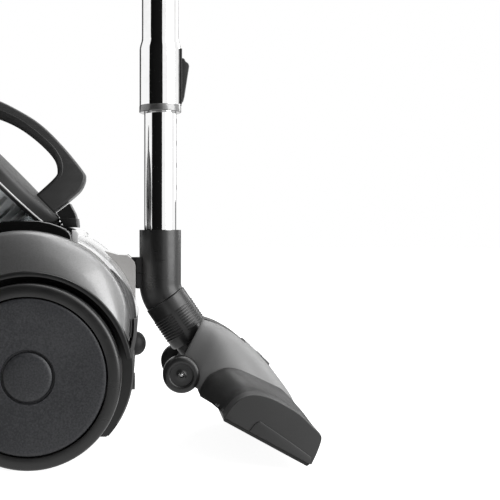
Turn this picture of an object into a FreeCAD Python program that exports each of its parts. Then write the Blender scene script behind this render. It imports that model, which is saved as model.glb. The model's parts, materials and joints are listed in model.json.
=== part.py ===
import FreeCAD, Part
import math
import os

# Canister vacuum cleaner, millimetres. X points to the machine's rear, where the wand is parked, Y is across the
# machine and Z is up. The origin is on the floor, under the middle of the whole outline.

V = FreeCAD.Vector
os.makedirs("parts", exist_ok=True)

# ---- driving dimensions -------------------------------------------------------------------------------------------
FLOOR_GAP = 20.0                 # belly above the floor
SKIN = 2.5                       # moulded wall
GAP = 0.3                        # between neighbouring mouldings
RUN = 0.05                       # running clearance of a pin in its hole, on the radius

WHEEL_X = -10.0                  # main wheel axle
WHEEL_R = 81.0
WHEEL_IN = 90.0                  # inner and outer faces of a main wheel, from the middle
WHEEL_OUT = 130.0
AXLE_R = 5.0

BODY_HALF = 78.0                 # half width of the body between the side plates
PLATE_IN = BODY_HALF + GAP
PLATE_OUT = 82.0
FENDER_OUT = 122.0
ARCH_R = 86.5                    # wheel arch

HUMP = (-18.5, 122.0)            # centre of the elliptic back of the body
HUMP_SIDE = (95.5, 85.4)         # its half axes at the fenders
HUMP_CROWN = (103.0, 92.3)       # and across the crowned middle
TAIL_R = 91.5                    # round lower back, about the main axle
BODY_FRONT = -104.5
CRADLE_BACK = 30.0
NOSE_X = -244.1

BIN_FOOT = (-160.2, 154.3)       # centre of the dust bin's lower end
BIN_LEAN = 45.0
BIN_R = 70.0
BIN_LENGTH = 165.0
DOOR_HINGE = -77.0               # door hinge, across the bin from its axis

WAND_X = 106.7
COLLAR_R = 20.75
LOWER_TUBE_R = 16.0
UPPER_TUBE_R = 18.35
TUBE_WALL = 0.8
NECK_TOP = 209.3
RING_Z = 326.0
UPPER_TOP = 831.0
SOCKET_R = 21.5
SOCKET_BORE_R = 16.6
SOCKET_LENGTH = 48.0
SOCKET_DEPTH = 24.0
LOWER_TOP = 640.0
LATCH_Z = (337.0, 380.0)

BEND = (WAND_X, 147.0)           # where the neck turns
NECK_LEAN = 145.8                # turn of the swivel axis from straight up
NECK_REACH = 7.6                 # from the bend to the swivel joint
SLEEVE_R = 21.75
PIVOT_REACH = 75.6               # from the bend to the head's tilt pivot

HEAD_HEEL = (157.7, 44.0)
HEAD_LEAN = 28.5
HEAD_HALF = 130.0
HEAD_WHEEL = (-41.4, 9.5)

CASTER_X = -193.5
CASTER_R = 15.0
CASTER_TRAIL = 12.0

MOTOR = (-48.5, 80.0)
REEL = (11.5, 100.0)


def head_pivot():
    """The tilt pivot in the head's own frame: it lies on the swivel axis."""
    neck = math.radians(NECK_LEAN)
    lean = math.radians(HEAD_LEAN)
    dx = BEND[0] + PIVOT_REACH * math.sin(neck) - HEAD_HEEL[0]
    dz = BEND[1] + PIVOT_REACH * math.cos(neck) - HEAD_HEEL[1]
    return (dx * math.cos(lean) - dz * math.sin(lean), dx * math.sin(lean) + dz * math.cos(lean))


HEAD_PIVOT = head_pivot()


# ---- small helpers ------------------------------------------------------------------------------------------------
def box(x0, x1, y0, y1, z0, z1):
    return Part.makeBox(x1 - x0, y1 - y0, z1 - z0, V(x0, y0, z0))


def rod(r, x, y0, y1, z):
    """A cylinder across the machine."""
    return Part.makeCylinder(r, y1 - y0, V(x, y0, z), V(0, 1, 0))


def post(r, x, y, z0, z1):
    return Part.makeCylinder(r, z1 - z0, V(x, y, z0))


def pipe(r_out, r_in, x, y, z0, z1):
    return post(r_out, x, y, z0, z1).cut(post(r_in, x, y, z0, z1))


def ring(r_out, r_in, x, y0, y1, z):
    return rod(r_out, x, y0, y1, z).cut(rod(r_in, x, y0, y1, z))


def slab(points, y0, y1):
    """A straight-edged outline in X and Z, as thick as y0 to y1."""
    wire = Part.makePolygon([V(x, y0, z) for x, z in points + points[:1]])
    return Part.Face(wire).extrude(V(0, y1 - y0, 0))


def smooth(points, y):
    """A smooth open edge through points in X and Z."""
    curve = Part.BSplineCurve()
    curve.interpolate([V(x, y, z) for x, z in points])
    return curve.toShape()


def line(a, b, y):
    return Part.LineSegment(V(a[0], y, a[1]), V(b[0], y, b[1])).toShape()


def curved_slab(points, y0, y1):
    """As slab, with one smooth edge through the points, closed by a straight one."""
    wire = Part.Wire([smooth(points, y0), line(points[-1], points[0], y0)])
    return Part.Face(wire).extrude(V(0, y1 - y0, 0))


def oval_wire(half, y):
    top = V(HUMP[0], y, HUMP[1] + half[1])
    side = V(HUMP[0] + half[0], y, HUMP[1])
    return Part.Wire([Part.Ellipse(side, top, V(HUMP[0], y, HUMP[1])).toShape()])


def round_wire(r, y):
    return Part.Wire([Part.Circle(V(WHEEL_X, y, WHEEL_R), V(0, 1, 0), r).toShape()])


def oval(half, y0, y1):
    return Part.Face(oval_wire(half, y0)).extrude(V(0, y1 - y0, 0))


def both(shape):
    """The shape and its mirror image across the middle."""
    return shape.fuse(mirrored(shape))


def mirrored(shape):
    return shape.mirror(V(0, 0, 0), V(0, 1, 0))


def placed(shape, lean, x, z):
    """Turn a shape made upright at the origin about Y, and set it down at x, z."""
    turned = shape.copy()
    turned.Placement = FreeCAD.Placement(V(x, 0, z), FreeCAD.Rotation(V(0, 1, 0), lean))
    return turned


def fused(shapes):
    return shapes[0].multiFuse(shapes[1:]).removeSplitter()


def save(name, shape):
    parts = shape.Solids
    solid = parts[0] if len(parts) == 1 else Part.makeCompound(parts)
    print(name, len(parts), solid.isValid(), round(solid.Volume / 1000.0, 1))
    solid.exportStep("parts/%s.step" % name)


# ---- body ---------------------------------------------------------------------------------------------------------
def body_block(hump, tail_r, half_width):
    """The rounded back of the body, solid, from its front wall to its tail."""
    whole = oval(hump, -half_width, half_width).fuse(rod(tail_r, WHEEL_X, -half_width, half_width, WHEEL_R))
    return whole.common(box(BODY_FRONT, 130, -half_width, half_width, FLOOR_GAP, 230))


def grown(hump, by):
    return (hump[0] + by, hump[1] + by)


def tray_outline(inset):
    """Plan outline of the lower housing and the nose."""
    side = BODY_HALF - inset
    nose = NOSE_X + inset
    points = [(nose, -38 + inset), (nose + 22, -60 + inset), (-140, -side), (120, -side),
              (120, side), (-140, side), (nose + 22, 60 - inset), (nose, 38 - inset)]
    wire = Part.makePolygon([V(x, y, 0) for x, y in points + points[:1]])
    return Part.Face(wire).extrude(V(0, 0, 120))


TRAY_TOP = 31.0


def lower_housing():
    outer = tray_outline(0).common(slab([(NOSE_X, TRAY_TOP), (NOSE_X, 27), (NOSE_X + 10, FLOOR_GAP),
                                         (60, FLOOR_GAP), (74, TRAY_TOP)], -BODY_HALF, BODY_HALF))
    inner = tray_outline(SKIN).common(slab([(NOSE_X + SKIN, TRAY_TOP), (NOSE_X + 12, FLOOR_GAP + SKIN),
                                            (57, FLOOR_GAP + SKIN), (67, TRAY_TOP)], -BODY_HALF, BODY_HALF))
    tray = outer.common(body_tail_limit()).cut(inner)
    return tray.cut(post(WELL_R + 1, CASTER_X, 0, 0, 60)).fuse(caster_cup())


def body_tail_limit():
    return rod(TAIL_R, WHEEL_X, -200, 200, WHEEL_R).fuse(box(-260, WHEEL_X, -200, 200, 0, 240))


WELL_R = 30.0
WELL_TOP = 40.0
STEM_R = 4.0


def hinge_point():
    """The bin door's hinge in X and Z."""
    turn = math.radians(BIN_LEAN)
    return (BIN_FOOT[0] + DOOR_HINGE * math.cos(turn) - math.sin(turn),
            BIN_FOOT[1] - DOOR_HINGE * math.sin(turn) - math.cos(turn))


DOOR_SWEEP = 158.0               # the open door clears the nose by this radius about its hinge


def nose_cover():
    """The scooped cover over the nose: the dust bin's door swings down over it."""
    outer = tray_outline(0).common(slab([(NOSE_X, TRAY_TOP + GAP), (NOSE_X, 38), (NOSE_X + 8, 50),
                                         (BODY_FRONT - GAP, 100), (BODY_FRONT - GAP, TRAY_TOP + GAP)],
                                        -BODY_HALF, BODY_HALF))
    inner = tray_outline(SKIN).common(slab([(NOSE_X + SKIN, TRAY_TOP), (NOSE_X + SKIN, 37.5), (NOSE_X + 9, 48),
                                            (BODY_FRONT, 97), (BODY_FRONT, TRAY_TOP)], -BODY_HALF, BODY_HALF))
    hinge_x, hinge_z = hinge_point()
    inner = inner.cut(rod(DOOR_SWEEP + SKIN, hinge_x, -200, 200, hinge_z))
    return outer.cut(rod(DOOR_SWEEP, hinge_x, -200, 200, hinge_z)).cut(inner).cut(caster_cup_room())


def caster_cup_room():
    return post(WELL_R + SKIN + GAP, CASTER_X, 0, 0, WELL_TOP + GAP)


def side_plate():
    """One side wall of the body, with the boss that holds its wheel's axle."""
    plate = body_block(grown(HUMP_SIDE, -1.5), TAIL_R - 1.5, 200)
    plate = plate.common(box(-300, 200, PLATE_IN, PLATE_OUT, 0, 300))
    boss = rod(15, WHEEL_X, PLATE_OUT - 1, 88, WHEEL_R)
    return plate.fuse(boss).cut(rod(AXLE_R, WHEEL_X, 60, 100, WHEEL_R))


def fender():
    """The crescent fender over one wheel: its skin slopes inwards as it rises, and its arch is round."""
    start = PLATE_OUT + GAP
    outer = fender_block(0, start)
    hollow = fender_block(-SKIN, start - 1).cut(rod(ARCH_R + SKIN, WHEEL_X, 0, 200, WHEEL_R))
    arch = rod(ARCH_R, WHEEL_X, 84, 200, WHEEL_R)
    shell = outer.cut(hollow).cut(arch)
    return shell.common(box(BODY_FRONT - 5, 200, start, FENDER_OUT, 96, 300))


def fender_block(grow, start):
    hump = grown(HUMP_SIDE, grow)
    slope = Part.makeLoft([oval_wire(hump, 100), round_wire(91 + grow, FENDER_OUT + grow)], True, True)
    return oval(hump, start, 100).fuse(slope)


def side_trim():
    """The black strip along the rear shoulder, on one side."""
    strip = oval(grown(HUMP_SIDE, 4.0), 84, 97).cut(oval(HUMP_SIDE, 80, 100))
    return strip.common(slab([(52, 171), (60, 190), (100, 190), (100, 100), (60, 100), (60, 130)], 80, 100))


CRADLE_LOW = 60.0


def cradle():
    """The black band: a saddle under the dust bin between two side walls."""
    side = [(BODY_FRONT, CRADLE_LOW), (BODY_FRONT, 120), (-108, 165), (-88, 198), (-48, 215.5), (-30, 217),
            (21, 217), (28, 212), (CRADLE_BACK, 204), (CRADLE_BACK, CRADLE_LOW)]
    band = slab(side, -BODY_HALF, BODY_HALF)
    walls = both(slab(side, BODY_HALF - SKIN, BODY_HALF))
    rims = both(slab(side, BIN_R + 2, BODY_HALF)).common(in_bin(box(-90, 30, -90, 90, 3, 300)))
    seat = band.common(in_bin(post(BIN_R + 6, 0, 0, 3, 300)))
    front = slab([(BODY_FRONT, CRADLE_LOW), (BODY_FRONT, 106), (BODY_FRONT + SKIN, 106),
                  (BODY_FRONT + SKIN, CRADLE_LOW)], -BODY_HALF, BODY_HALF)
    back = slab([(CRADLE_BACK - SKIN, 170), (CRADLE_BACK - SKIN, 209), (CRADLE_BACK, 204), (CRADLE_BACK, 170)],
                -BODY_HALF, BODY_HALF)
    shell = fused([walls, rims, seat, front, back])
    shell = shell.cut(in_bin(post(BIN_R + 1.5, 0, 0, -60, 300))).cut(lid_room())
    return shell.cut(rod(REEL_BOSS_R + GAP, REEL[0], 60, 90, REEL[1]))


def lid_room():
    return in_bin(post(LID_R + 2, 0, 0, BIN_LENGTH - 17, BIN_LENGTH + 60))


def rear_housing():
    """The silver back cover, with windows for the parking boss and the two pedals."""
    outer = body_block(HUMP_CROWN, 1, BODY_HALF)
    inner = body_block(grown(HUMP_CROWN, -3), 1, BODY_HALF - SKIN)
    sides = body_block(grown(HUMP_SIDE, -6), 1, BODY_HALF + 2)
    shell = outer.cut(inner).cut(sides)
    shell = shell.common(box(CRADLE_BACK + GAP, 200, -BODY_HALF, BODY_HALF, GRILLE_TOP + GAP, 300))
    shell = shell.cut(box(55, 120, -BOSS_BLOCK - GAP, BOSS_BLOCK + GAP, 145.7, 200))
    return shell.cut(both(pedal_block(GAP)))


PEDAL_Y = (44.0, 68.0)
PEDAL_AT = (47.3, 191.0)         # middle of a pedal, on the back cover
PEDAL_LEAN = 37.4                # turn of its push direction from upright
PEDAL_HALF = 12.0


def pedal_block(grow):
    half = PEDAL_HALF + grow
    block = box(-half, half, PEDAL_Y[0] - grow, PEDAL_Y[1] + grow, -22, 30)
    return placed(block, PEDAL_LEAN, PEDAL_AT[0], PEDAL_AT[1])


def pedal():
    """One foot pedal, flush with the back cover, on a post that works its switch or brake."""
    cap = oval(grown(HUMP_CROWN, 1.0), PEDAL_Y[0], PEDAL_Y[1]).cut(oval(grown(HUMP_CROWN, -3), 0, 100))
    cap = cap.common(pedal_block(0))
    stem = placed(post(4, 0, 56, -18, -1), PEDAL_LEAN, PEDAL_AT[0], PEDAL_AT[1])
    return cap.fuse(stem)


GRILLE_TOP = 127.0


def exhaust_grille():
    """The curved outlet grille on the machine's back."""
    outer = body_block(HUMP_CROWN, TAIL_R, BODY_HALF)
    inner = body_block(grown(HUMP_CROWN, -3), TAIL_R - 3, BODY_HALF + 1)
    band = outer.cut(inner).common(box(55, 200, -BODY_HALF, BODY_HALF, TRAY_TOP + GAP, GRILLE_TOP))
    slots = []
    for row in range(11):
        low = 44 + 7 * row
        for y in (22, 37, 52, 67):
            slots += [box(50, 110, y - 6, y + 6, low, low + 3), box(50, 110, -y - 6, -y + 6, low, low + 3)]
    band = band.cut(Part.makeCompound(slots))
    band = band.cut(Part.makeCylinder(CORD_HOLE_R + 4, 60, V(55, 0, CORD_Z), V(1, 0, 0)))
    band = band.cut(Part.makeCylinder(BUMPER_R + 0.1, 60, V(BUMPER_X + 1, 0, BUMPER_Z), V(1, 0, 0)))
    return band.cut(Part.makeCylinder(7, 60, V(55, 0, BUMPER_Z), V(1, 0, 0)))


CORD_Z = 58.0
CORD_HOLE_R = 4.5
BUMPER_Z = 95.8
BUMPER_X = 80.6                  # where its foot meets the grille
BUMPER_R = 11.85


def cord_outlet():
    """The bush that the mains lead would leave by."""
    bush = Part.makeCylinder(CORD_HOLE_R + 4, 13.5, V(68, 0, CORD_Z), V(1, 0, 0))
    flange = Part.makeCylinder(CORD_HOLE_R + 7, 3, V(68, 0, CORD_Z), V(1, 0, 0))
    return bush.fuse(flange).cut(Part.makeCylinder(CORD_HOLE_R, 40, V(60, 0, CORD_Z), V(1, 0, 0)))


def rear_bumper():
    """The domed rubber buffer that the wand's neck rests near."""
    stud = Part.makeCylinder(7, 12, V(BUMPER_X - 9, 0, BUMPER_Z), V(1, 0, 0))
    base = Part.makeCylinder(BUMPER_R, 4.5, V(BUMPER_X + 1, 0, BUMPER_Z), V(1, 0, 0))
    dome_r = 17.5
    tip_x = 92.5
    ball = Part.makeSphere(dome_r, V(tip_x - dome_r, 0, BUMPER_Z))
    column = Part.makeCylinder(BUMPER_R, 20, V(BUMPER_X + 1, 0, BUMPER_Z), V(1, 0, 0))
    return fused([stud, base.common(ball.fuse(base)), ball.common(column)])


BOSS_HALF = 33.0
BOSS_BLOCK = 14.0
BOSS_FACE = 82.3
SLOT_FLOOR = 151.0


def parking_boss():
    """The grey boss whose upright slot takes the wand's parking rail."""
    outline = [(46.5, 190.7), (57.5, 187.2), (65.5, 185), (74.5, 184.6), (77.7, 182), (81.3, 178),
               (BOSS_FACE, 174), (BOSS_FACE, 140), (60, 140), (46, 170)]
    skin = slab(outline, -BOSS_HALF, BOSS_HALF).cut(oval(HUMP_CROWN, -100, 100))
    block = slab([(64, 184.8), (74.5, 184.6), (77.7, 182), (81.3, 178), (BOSS_FACE, 174), (BOSS_FACE, 146),
                  (64, 146)], -BOSS_BLOCK, BOSS_BLOCK)
    neck = box(77, 100, -5, 5, SLOT_FLOOR, 200)
    tee = box(73.7, 78.7, -9, 9, SLOT_FLOOR, 200)
    return skin.fuse(block).removeSplitter().cut(neck.fuse(tee))


# ---- drive and electrical pieces -----------------------------------------------------------------------------------
FAN_Y = (-19.7, 14.0)


def motor_body():
    can = rod(36, MOTOR[0], -65, -20, MOTOR[1])
    return can.cut(rod(4 + RUN, MOTOR[0], -70, 0, MOTOR[1]))


def fan_housing():
    drum = rod(52, MOTOR[0], FAN_Y[0], FAN_Y[1], MOTOR[1])
    room = rod(49, MOTOR[0], FAN_Y[0] + 2.5, FAN_Y[1] - 2.5, MOTOR[1])
    shaft_way = rod(6, MOTOR[0], FAN_Y[0] - 1, 0, MOTOR[1])
    eye = rod(18, MOTOR[0], 0, FAN_Y[1] + 1, MOTOR[1])
    outlet = box(MOTOR[0] + 20, MOTOR[0] + 60, -12, 8, MOTOR[1] - 12, MOTOR[1] + 12)
    return drum.cut(fused([room, shaft_way, eye, outlet]))


def impeller():
    """Two plates with curved blades between them."""
    back = ring(42, 4, MOTOR[0], -14, -12.5, MOTOR[1])
    front = ring(42, 16, MOTOR[0], 4, 5.5, MOTOR[1])
    hub = ring(9, 4, MOTOR[0], -12.5, 2, MOTOR[1])
    blades = []
    for turn in range(0, 360, 45):
        blade = ring(30, 28.5, MOTOR[0] + 30, -12.5, 4, MOTOR[1])
        blade = blade.common(box(MOTOR[0] + 4, MOTOR[0] + 36, -20, 20, MOTOR[1], MOTOR[1] + 60))
        blade = blade.common(ring(41, 12, MOTOR[0], -20, 20, MOTOR[1]))
        blade.rotate(V(MOTOR[0], 0, MOTOR[1]), V(0, 1, 0), turn)
        blades.append(blade)
    return fused([back, front, hub] + blades)


def motor_shaft():
    return rod(4, MOTOR[0], -68, 3, MOTOR[1])


def motor_saddle():
    """Two rubber blocks that carry the motor on the floor of the housing."""
    low = FLOOR_GAP + SKIN
    blocks = [box(MOTOR[0] - 24, MOTOR[0] + 24, y, y + 12, low, 62) for y in (-62, -38)]
    return Part.makeCompound([block.cut(rod(36, MOTOR[0], -80, 0, MOTOR[1])) for block in blocks])


REEL_R = 56.0
REEL_BOSS_R = 9.0


def cord_reel():
    """The spool of the cord rewind, between two rims."""
    spool = fused([rod(REEL_R, REEL[0], 22, 24, REEL[1]), rod(20, REEL[0], 24, 64, REEL[1]),
                   rod(REEL_R, REEL[0], 64, 66, REEL[1])])
    return spool.cut(rod(6 + RUN, REEL[0], 0, 100, REEL[1])).cut(ring(17, 9, REEL[0], 26, 70, REEL[1]))


def reel_axle():
    return fused([rod(6, REEL[0], 20, PLATE_IN, REEL[1]), ring(REEL_BOSS_R, 6, REEL[0], 66.3, PLATE_IN, REEL[1])])


def exhaust_filter():
    """A pleated pad in a frame, behind the grille."""
    frame = box(51, 67, -70, 14, 72, 122).cut(box(50, 70, -66, 10, 76, 118))
    pleats = [box(53, 65, -66, 10, z, z + 3.5) for z in range(78, 114, 6)]
    return fused([frame] + pleats + [box(58, 60, -66, 10, 76, 118)])


def control_board():
    board = box(-98, -96.4, 20, 70, 32, 90)
    chips = [box(-96.4, -88, 26, 40, 40, 56), box(-96.4, -84, 48, 62, 60, 78), box(-96.4, -90, 28, 36, 66, 80)]
    return fused([board] + chips)


def power_switch():
    """The switch body below the power pedal's stem."""
    return box(20, 34, -64, -48, 150, 165)


def air_duct():
    """Carries the cleaned air from the dust bin's seat down to the fan."""
    x, z = MOTOR
    collar = ring(22, 18.5, x, FAN_Y[1] + GAP, 20, z)
    run = slab([(x - 28, z - 16), (x + 2, z - 16), (x + 2, 144), (x - 28, 116)], 20, 44)
    room = slab([(x - 26, z - 14), (x, z - 14), (x, 160), (x - 26, 130)], 22, 42)
    mouth = rod(18.5, x, 15, 30, z)
    return collar.fuse(run).cut(room).cut(mouth)


def floor_screws():
    """Four screws that hold the lower housing from below."""
    screws = []
    for x in (-150, 40):
        for y in (-66, 66):
            head = post(3.5, x, y, FLOOR_GAP - 2, FLOOR_GAP)
            thread = post(1.6, x, y, FLOOR_GAP, FLOOR_GAP + 14)
            screws.append(head.fuse(thread))
    return Part.makeCompound(screws)


def screw_holes():
    return Part.makeCompound([post(1.6, x, y, 0, 60) for x in (-150, 40) for y in (-66, 66)])


# ---- main wheels and caster ----------------------------------------------------------------------------------------
def axle():
    pin = rod(AXLE_R, WHEEL_X, PLATE_IN, 126, WHEEL_R)
    washer = ring(8, AXLE_R, WHEEL_X, 121, 122.5, WHEEL_R)
    return pin.fuse(washer)


TYRE_IN_R = 68.8
HUB_R = 22.4


def tyre():
    whole = ring(WHEEL_R, TYRE_IN_R, WHEEL_X, WHEEL_IN, WHEEL_OUT, WHEEL_R)
    rims = [e for e in whole.Edges if e.Length > 2 * math.pi * (WHEEL_R - 1)]
    return whole.makeFillet(3.0, rims)


def wheel_disc():
    """The dished disc inside the tyre, with its hub and ribs."""
    rim = ring(TYRE_IN_R, TYRE_IN_R - 3, WHEEL_X, WHEEL_IN + 2, WHEEL_OUT - 1, WHEEL_R)
    web = ring(TYRE_IN_R - 1, HUB_R, WHEEL_X, WHEEL_OUT - 5, WHEEL_OUT - 2, WHEEL_R)
    step = ring(HUB_R + 2.5, HUB_R - 2, WHEEL_X, WHEEL_OUT - 12, WHEEL_OUT - 3, WHEEL_R)
    floor = ring(HUB_R, 9, WHEEL_X, WHEEL_OUT - 12, WHEEL_OUT - 10, WHEEL_R)
    hub = ring(12, AXLE_R + RUN, WHEEL_X, WHEEL_IN, WHEEL_OUT - 10, WHEEL_R)
    ribs = []
    for turn in range(0, 360, 45):
        rib = box(WHEEL_X + HUB_R + 1, WHEEL_X + TYRE_IN_R - 2, WHEEL_IN + 12, WHEEL_OUT - 5, WHEEL_R - 1, WHEEL_R + 1)
        rib.rotate(V(WHEEL_X, 0, WHEEL_R), V(0, 1, 0), turn)
        ribs.append(rib)
    disc = fused([rim, web, step, floor, hub] + ribs)
    return disc.cut(ring(9, AXLE_R, WHEEL_X, 119.5, WHEEL_OUT, WHEEL_R))


def hub_cap():
    cap = rod(HUB_R - 2 - GAP / 3, WHEEL_X, WHEEL_OUT - 3, WHEEL_OUT - 0.5, WHEEL_R)
    skirt = ring(HUB_R - 2 - GAP / 3, HUB_R - 4, WHEEL_X, WHEEL_OUT - 10, WHEEL_OUT - 3, WHEEL_R)
    return cap.fuse(skirt)


def caster_cup():
    """The round well that the front caster swivels in."""
    cup = pipe(WELL_R + SKIN, WELL_R, CASTER_X, 0, FLOOR_GAP, WELL_TOP)
    lid = post(WELL_R + 1, CASTER_X, 0, WELL_TOP - 3.5, WELL_TOP)
    boss = post(8, CASTER_X, 0, WELL_TOP - 1, WELL_TOP + 6)
    return fused([cup, lid, boss]).cut(post(STEM_R + RUN, CASTER_X, 0, 0, 60))


def caster_fork():
    axle_x = CASTER_X + CASTER_TRAIL
    plate = post(14, CASTER_X, 0, 32.5, 35)
    stem = post(STEM_R, CASTER_X, 0, 34, WELL_TOP + 5)
    legs = both(box(axle_x - 6, axle_x + 6, 8, 10.5, 10, 33.5))
    return fused([plate, stem, legs]).cut(rod(2, axle_x, -20, 20, CASTER_R))


def caster_wheel():
    wheel = rod(CASTER_R, CASTER_X + CASTER_TRAIL, -7, 7, CASTER_R)
    rims = [e for e in wheel.Edges if e.Length > 80]
    return wheel.makeFillet(2, rims).cut(rod(2 + RUN, CASTER_X + CASTER_TRAIL, -20, 20, CASTER_R))


def caster_pin():
    return rod(2, CASTER_X + CASTER_TRAIL, -11, 11, CASTER_R)


# ---- dust bin: made upright, z from its lower end ------------------------------------------------------------------
LID_R = 73.0
STUB_Z = 124.0
STUB_IN_R = 18.0
STUB_OUT_R = 22.0


def in_bin(shape):
    return placed(shape, BIN_LEAN, BIN_FOOT[0], BIN_FOOT[1])


def stub(r, x0, x1):
    return Part.makeCylinder(r, x1 - x0, V(x0, 0, STUB_Z), V(1, 0, 0))


def dust_bin():
    wall = pipe(BIN_R, BIN_R - SKIN, 0, 0, 2, 150)
    lugs = both(box(DOOR_HINGE - 4, -BIN_R + 4, 13, 20, -5, 12))
    lugs = lugs.cut(Part.makeCylinder(2, 60, V(DOOR_HINGE, -30, -1), V(0, 1, 0)))
    lugs = lugs.cut(post(BIN_R - SKIN, 0, 0, -20, 60)).cut(box(-71.5, 0, -30, 30, -20, 2))
    return wall.fuse(lugs).cut(stub(STUB_OUT_R, -90, 0))


def hose_inlet():
    """The socket for the hose, high on the front of the bin."""
    tube = stub(STUB_OUT_R, -100, -60).cut(stub(STUB_IN_R, -110, 0))
    return tube.cut(post(BIN_R - SKIN, 0, 0, 0, 200))


def bin_lid():
    cap = post(LID_R, 0, 0, 148, BIN_LENGTH).cut(post(BIN_R + GAP, 0, 0, 140, 150))
    return cap.cut(post(BIN_R - 1, 0, 0, 149, 161))


def lid_seal():
    return pipe(BIN_R - 1.2, 59, 0, 0, 153.2, 155.5).fuse(pipe(BIN_R - 1.2, BIN_R - 4, 0, 0, 150, 155))


def shroud_plate():
    return pipe(BIN_R - 4.4, 43, 0, 0, 150.2, 153.0)


def mesh_shroud():
    """The tube with rows of slots round the cone, that the swirling air leaves through."""
    tube = pipe(47, 44.8, 0, 0, 84, 150.2)
    slots = []
    for turn in range(0, 180, 15):
        slot = box(-60, 60, -2.5, 2.5, 90, 142)
        slot.rotate(V(0, 0, 0), V(0, 0, 1), turn)
        slots.append(slot)
    return tube.cut(Part.makeCompound(slots)).fuse(shroud_plate())


def cyclone_cone():
    outer = Part.makeCone(16, 42, 120, V(0, 0, 30))
    inner = Part.makeCone(14.4, 40.4, 120, V(0, 0, 30))
    return outer.cut(inner)


def lid_filter():
    """The filter under the lid, with the soft rim that seals it on the bin."""
    return post(60, 0, 0, 153.2, 160.8).fuse(lid_seal())


def bin_door():
    disc = post(BIN_R + 1, 0, 0, -5, 1.6)
    dish = post(BIN_R - 8, 0, 0, -2.4, 10)
    knuckle = Part.makeCylinder(4, 25, V(DOOR_HINGE, -12.5, -1), V(0, 1, 0))
    tab = box(DOOR_HINGE, -60, -12.5, 12.5, -5, 0)
    catch = box(BIN_R - 4, BIN_R + 1, -9, 9, -8, -4)
    door = fused([disc, knuckle, tab, catch]).cut(dish)
    return door.cut(Part.makeCylinder(2 + RUN, 60, V(DOOR_HINGE, -30, -1), V(0, 1, 0)))


def door_seal():
    return pipe(BIN_R - SKIN - GAP, BIN_R - 6.5, 0, 0, 1.6, 5)


def door_pin():
    return Part.makeCylinder(2, 40, V(DOOR_HINGE, -20, -1), V(0, 1, 0))


HANDLE_HALF = 14.0
LID_LINE = 227.5                 # X plus Z on the lid's upper face


def handle():
    """The carrying handle: one smooth hoop that stands on the lid."""
    foot = (1.3, LID_LINE - 1.3)
    heel = (-104.5, LID_LINE + 104.5)
    outer = curved_slab([foot, (17.3, 238.6), (28.1, 249), (32.2, 261), (28.1, 270), (7.5, 295), (-12.5, 314),
                         (-33.1, 327), (-53.5, 337), (-75, 344), (-94, 343), heel], -HANDLE_HALF, HANDLE_HALF)
    start = (-15.9, LID_LINE + 15.9)
    end = (-91, LID_LINE + 91)
    gap = curved_slab([start, (2, 260), (5.2, 267.5), (1.5, 279), (-12.5, 294), (-33.1, 310), (-53.5, 320),
                       (-75, 325.5), end], -40, 40)
    hoop = outer.cut(gap)
    outside = [e for e in hoop.Edges if e.Length > 150]
    return hoop.makeFillet(4.0, outside)


BUTTON_AT = (-84.0, 339.0)


def button_shape(grow, sink):
    x, z = BUTTON_AT
    cap = box(x - 11 - grow, x + 11 + grow, -7 - grow, 7 + grow, z - sink, z + 7 + sink)
    return cap.fuse(box(x - 7 - grow, x + 7 + grow, -4 - grow, 4 + grow, z - 4 - sink, z + 1))


def release_button():
    """The thumb button on top of the handle that frees the bin."""
    return button_shape(0, 0)


def button_room():
    return button_shape(0.4, 4.0)


def latch_housing():
    """The quarter-round housing of the bin's catch, under the handle's foot."""
    outline = [(4.2, 226.0), (17.0, 235.4), (22.4, 225.2), (24.5, 217.6), (9.5, 217.6)]
    block = slab(outline, -12, 12)
    return block.cut(in_bin(post(LID_R + 0.2, 0, 0, 100, BIN_LENGTH + 0.02)))


# ---- wand ----------------------------------------------------------------------------------------------------------
def along_neck(shape):
    return placed(shape, NECK_LEAN, BEND[0], BEND[1])


TUBE_FOOT = 172.0


def neck_elbow():
    """The collar that holds the lower tube, turning to the swivel joint, with a spigot for the sleeve."""
    upright = post(COLLAR_R, BEND[0], 0, BEND[1], NECK_TOP)
    ball = Part.makeSphere(COLLAR_R, V(BEND[0], 0, BEND[1]))
    tail = along_neck(post(COLLAR_R, 0, 0, 0, NECK_REACH))
    beyond = along_neck(box(-60, 60, -60, 60, NECK_REACH, 80))
    outside = fused([upright, ball, tail]).cut(beyond)
    spigot = along_neck(post(SPIGOT_R, 0, 0, NECK_REACH - 4, NECK_REACH + 14))
    bore_r = 14.5
    bore = fused([post(bore_r, BEND[0], 0, BEND[1], NECK_TOP + 1),
                  Part.makeSphere(bore_r, V(BEND[0], 0, BEND[1])),
                  along_neck(post(bore_r, 0, 0, 0, 60))])
    socket = post(LOWER_TUBE_R, BEND[0], 0, TUBE_FOOT, NECK_TOP + 1)
    return outside.fuse(spigot).cut(bore).cut(socket)


SPIGOT_R = 17.0


def parking_clip():
    """The rail on the neck that drops into the boss's slot."""
    pad = box(83.0, 92, -10, 10, SLOT_FLOOR, 182)
    neck = box(78, 84, -4.6, 4.6, SLOT_FLOOR, 182)
    rail = box(74.1, 78.3, -8.6, 8.6, SLOT_FLOOR, 182)
    return fused([pad, neck, rail]).cut(post(COLLAR_R, WAND_X, 0, 100, 250))


def lower_tube():
    tube = pipe(LOWER_TUBE_R, LOWER_TUBE_R - TUBE_WALL, WAND_X, 0, TUBE_FOOT, LOWER_TOP)
    first = 249
    pitch = 22
    notches = [box(WAND_X + LOWER_TUBE_R - 1.6, WAND_X + 20, -4, 4, z, z + 5)
               for z in range(first, first + 14 * pitch, pitch)]
    return tube.cut(Part.makeCompound(notches))


def tube_guide():
    """The plastic ring on the lower tube's top, that keeps the upper tube straight."""
    return pipe(UPPER_TUBE_R - TUBE_WALL - RUN, LOWER_TUBE_R, WAND_X, 0, LOWER_TOP - 40, LOWER_TOP - 5)


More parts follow.
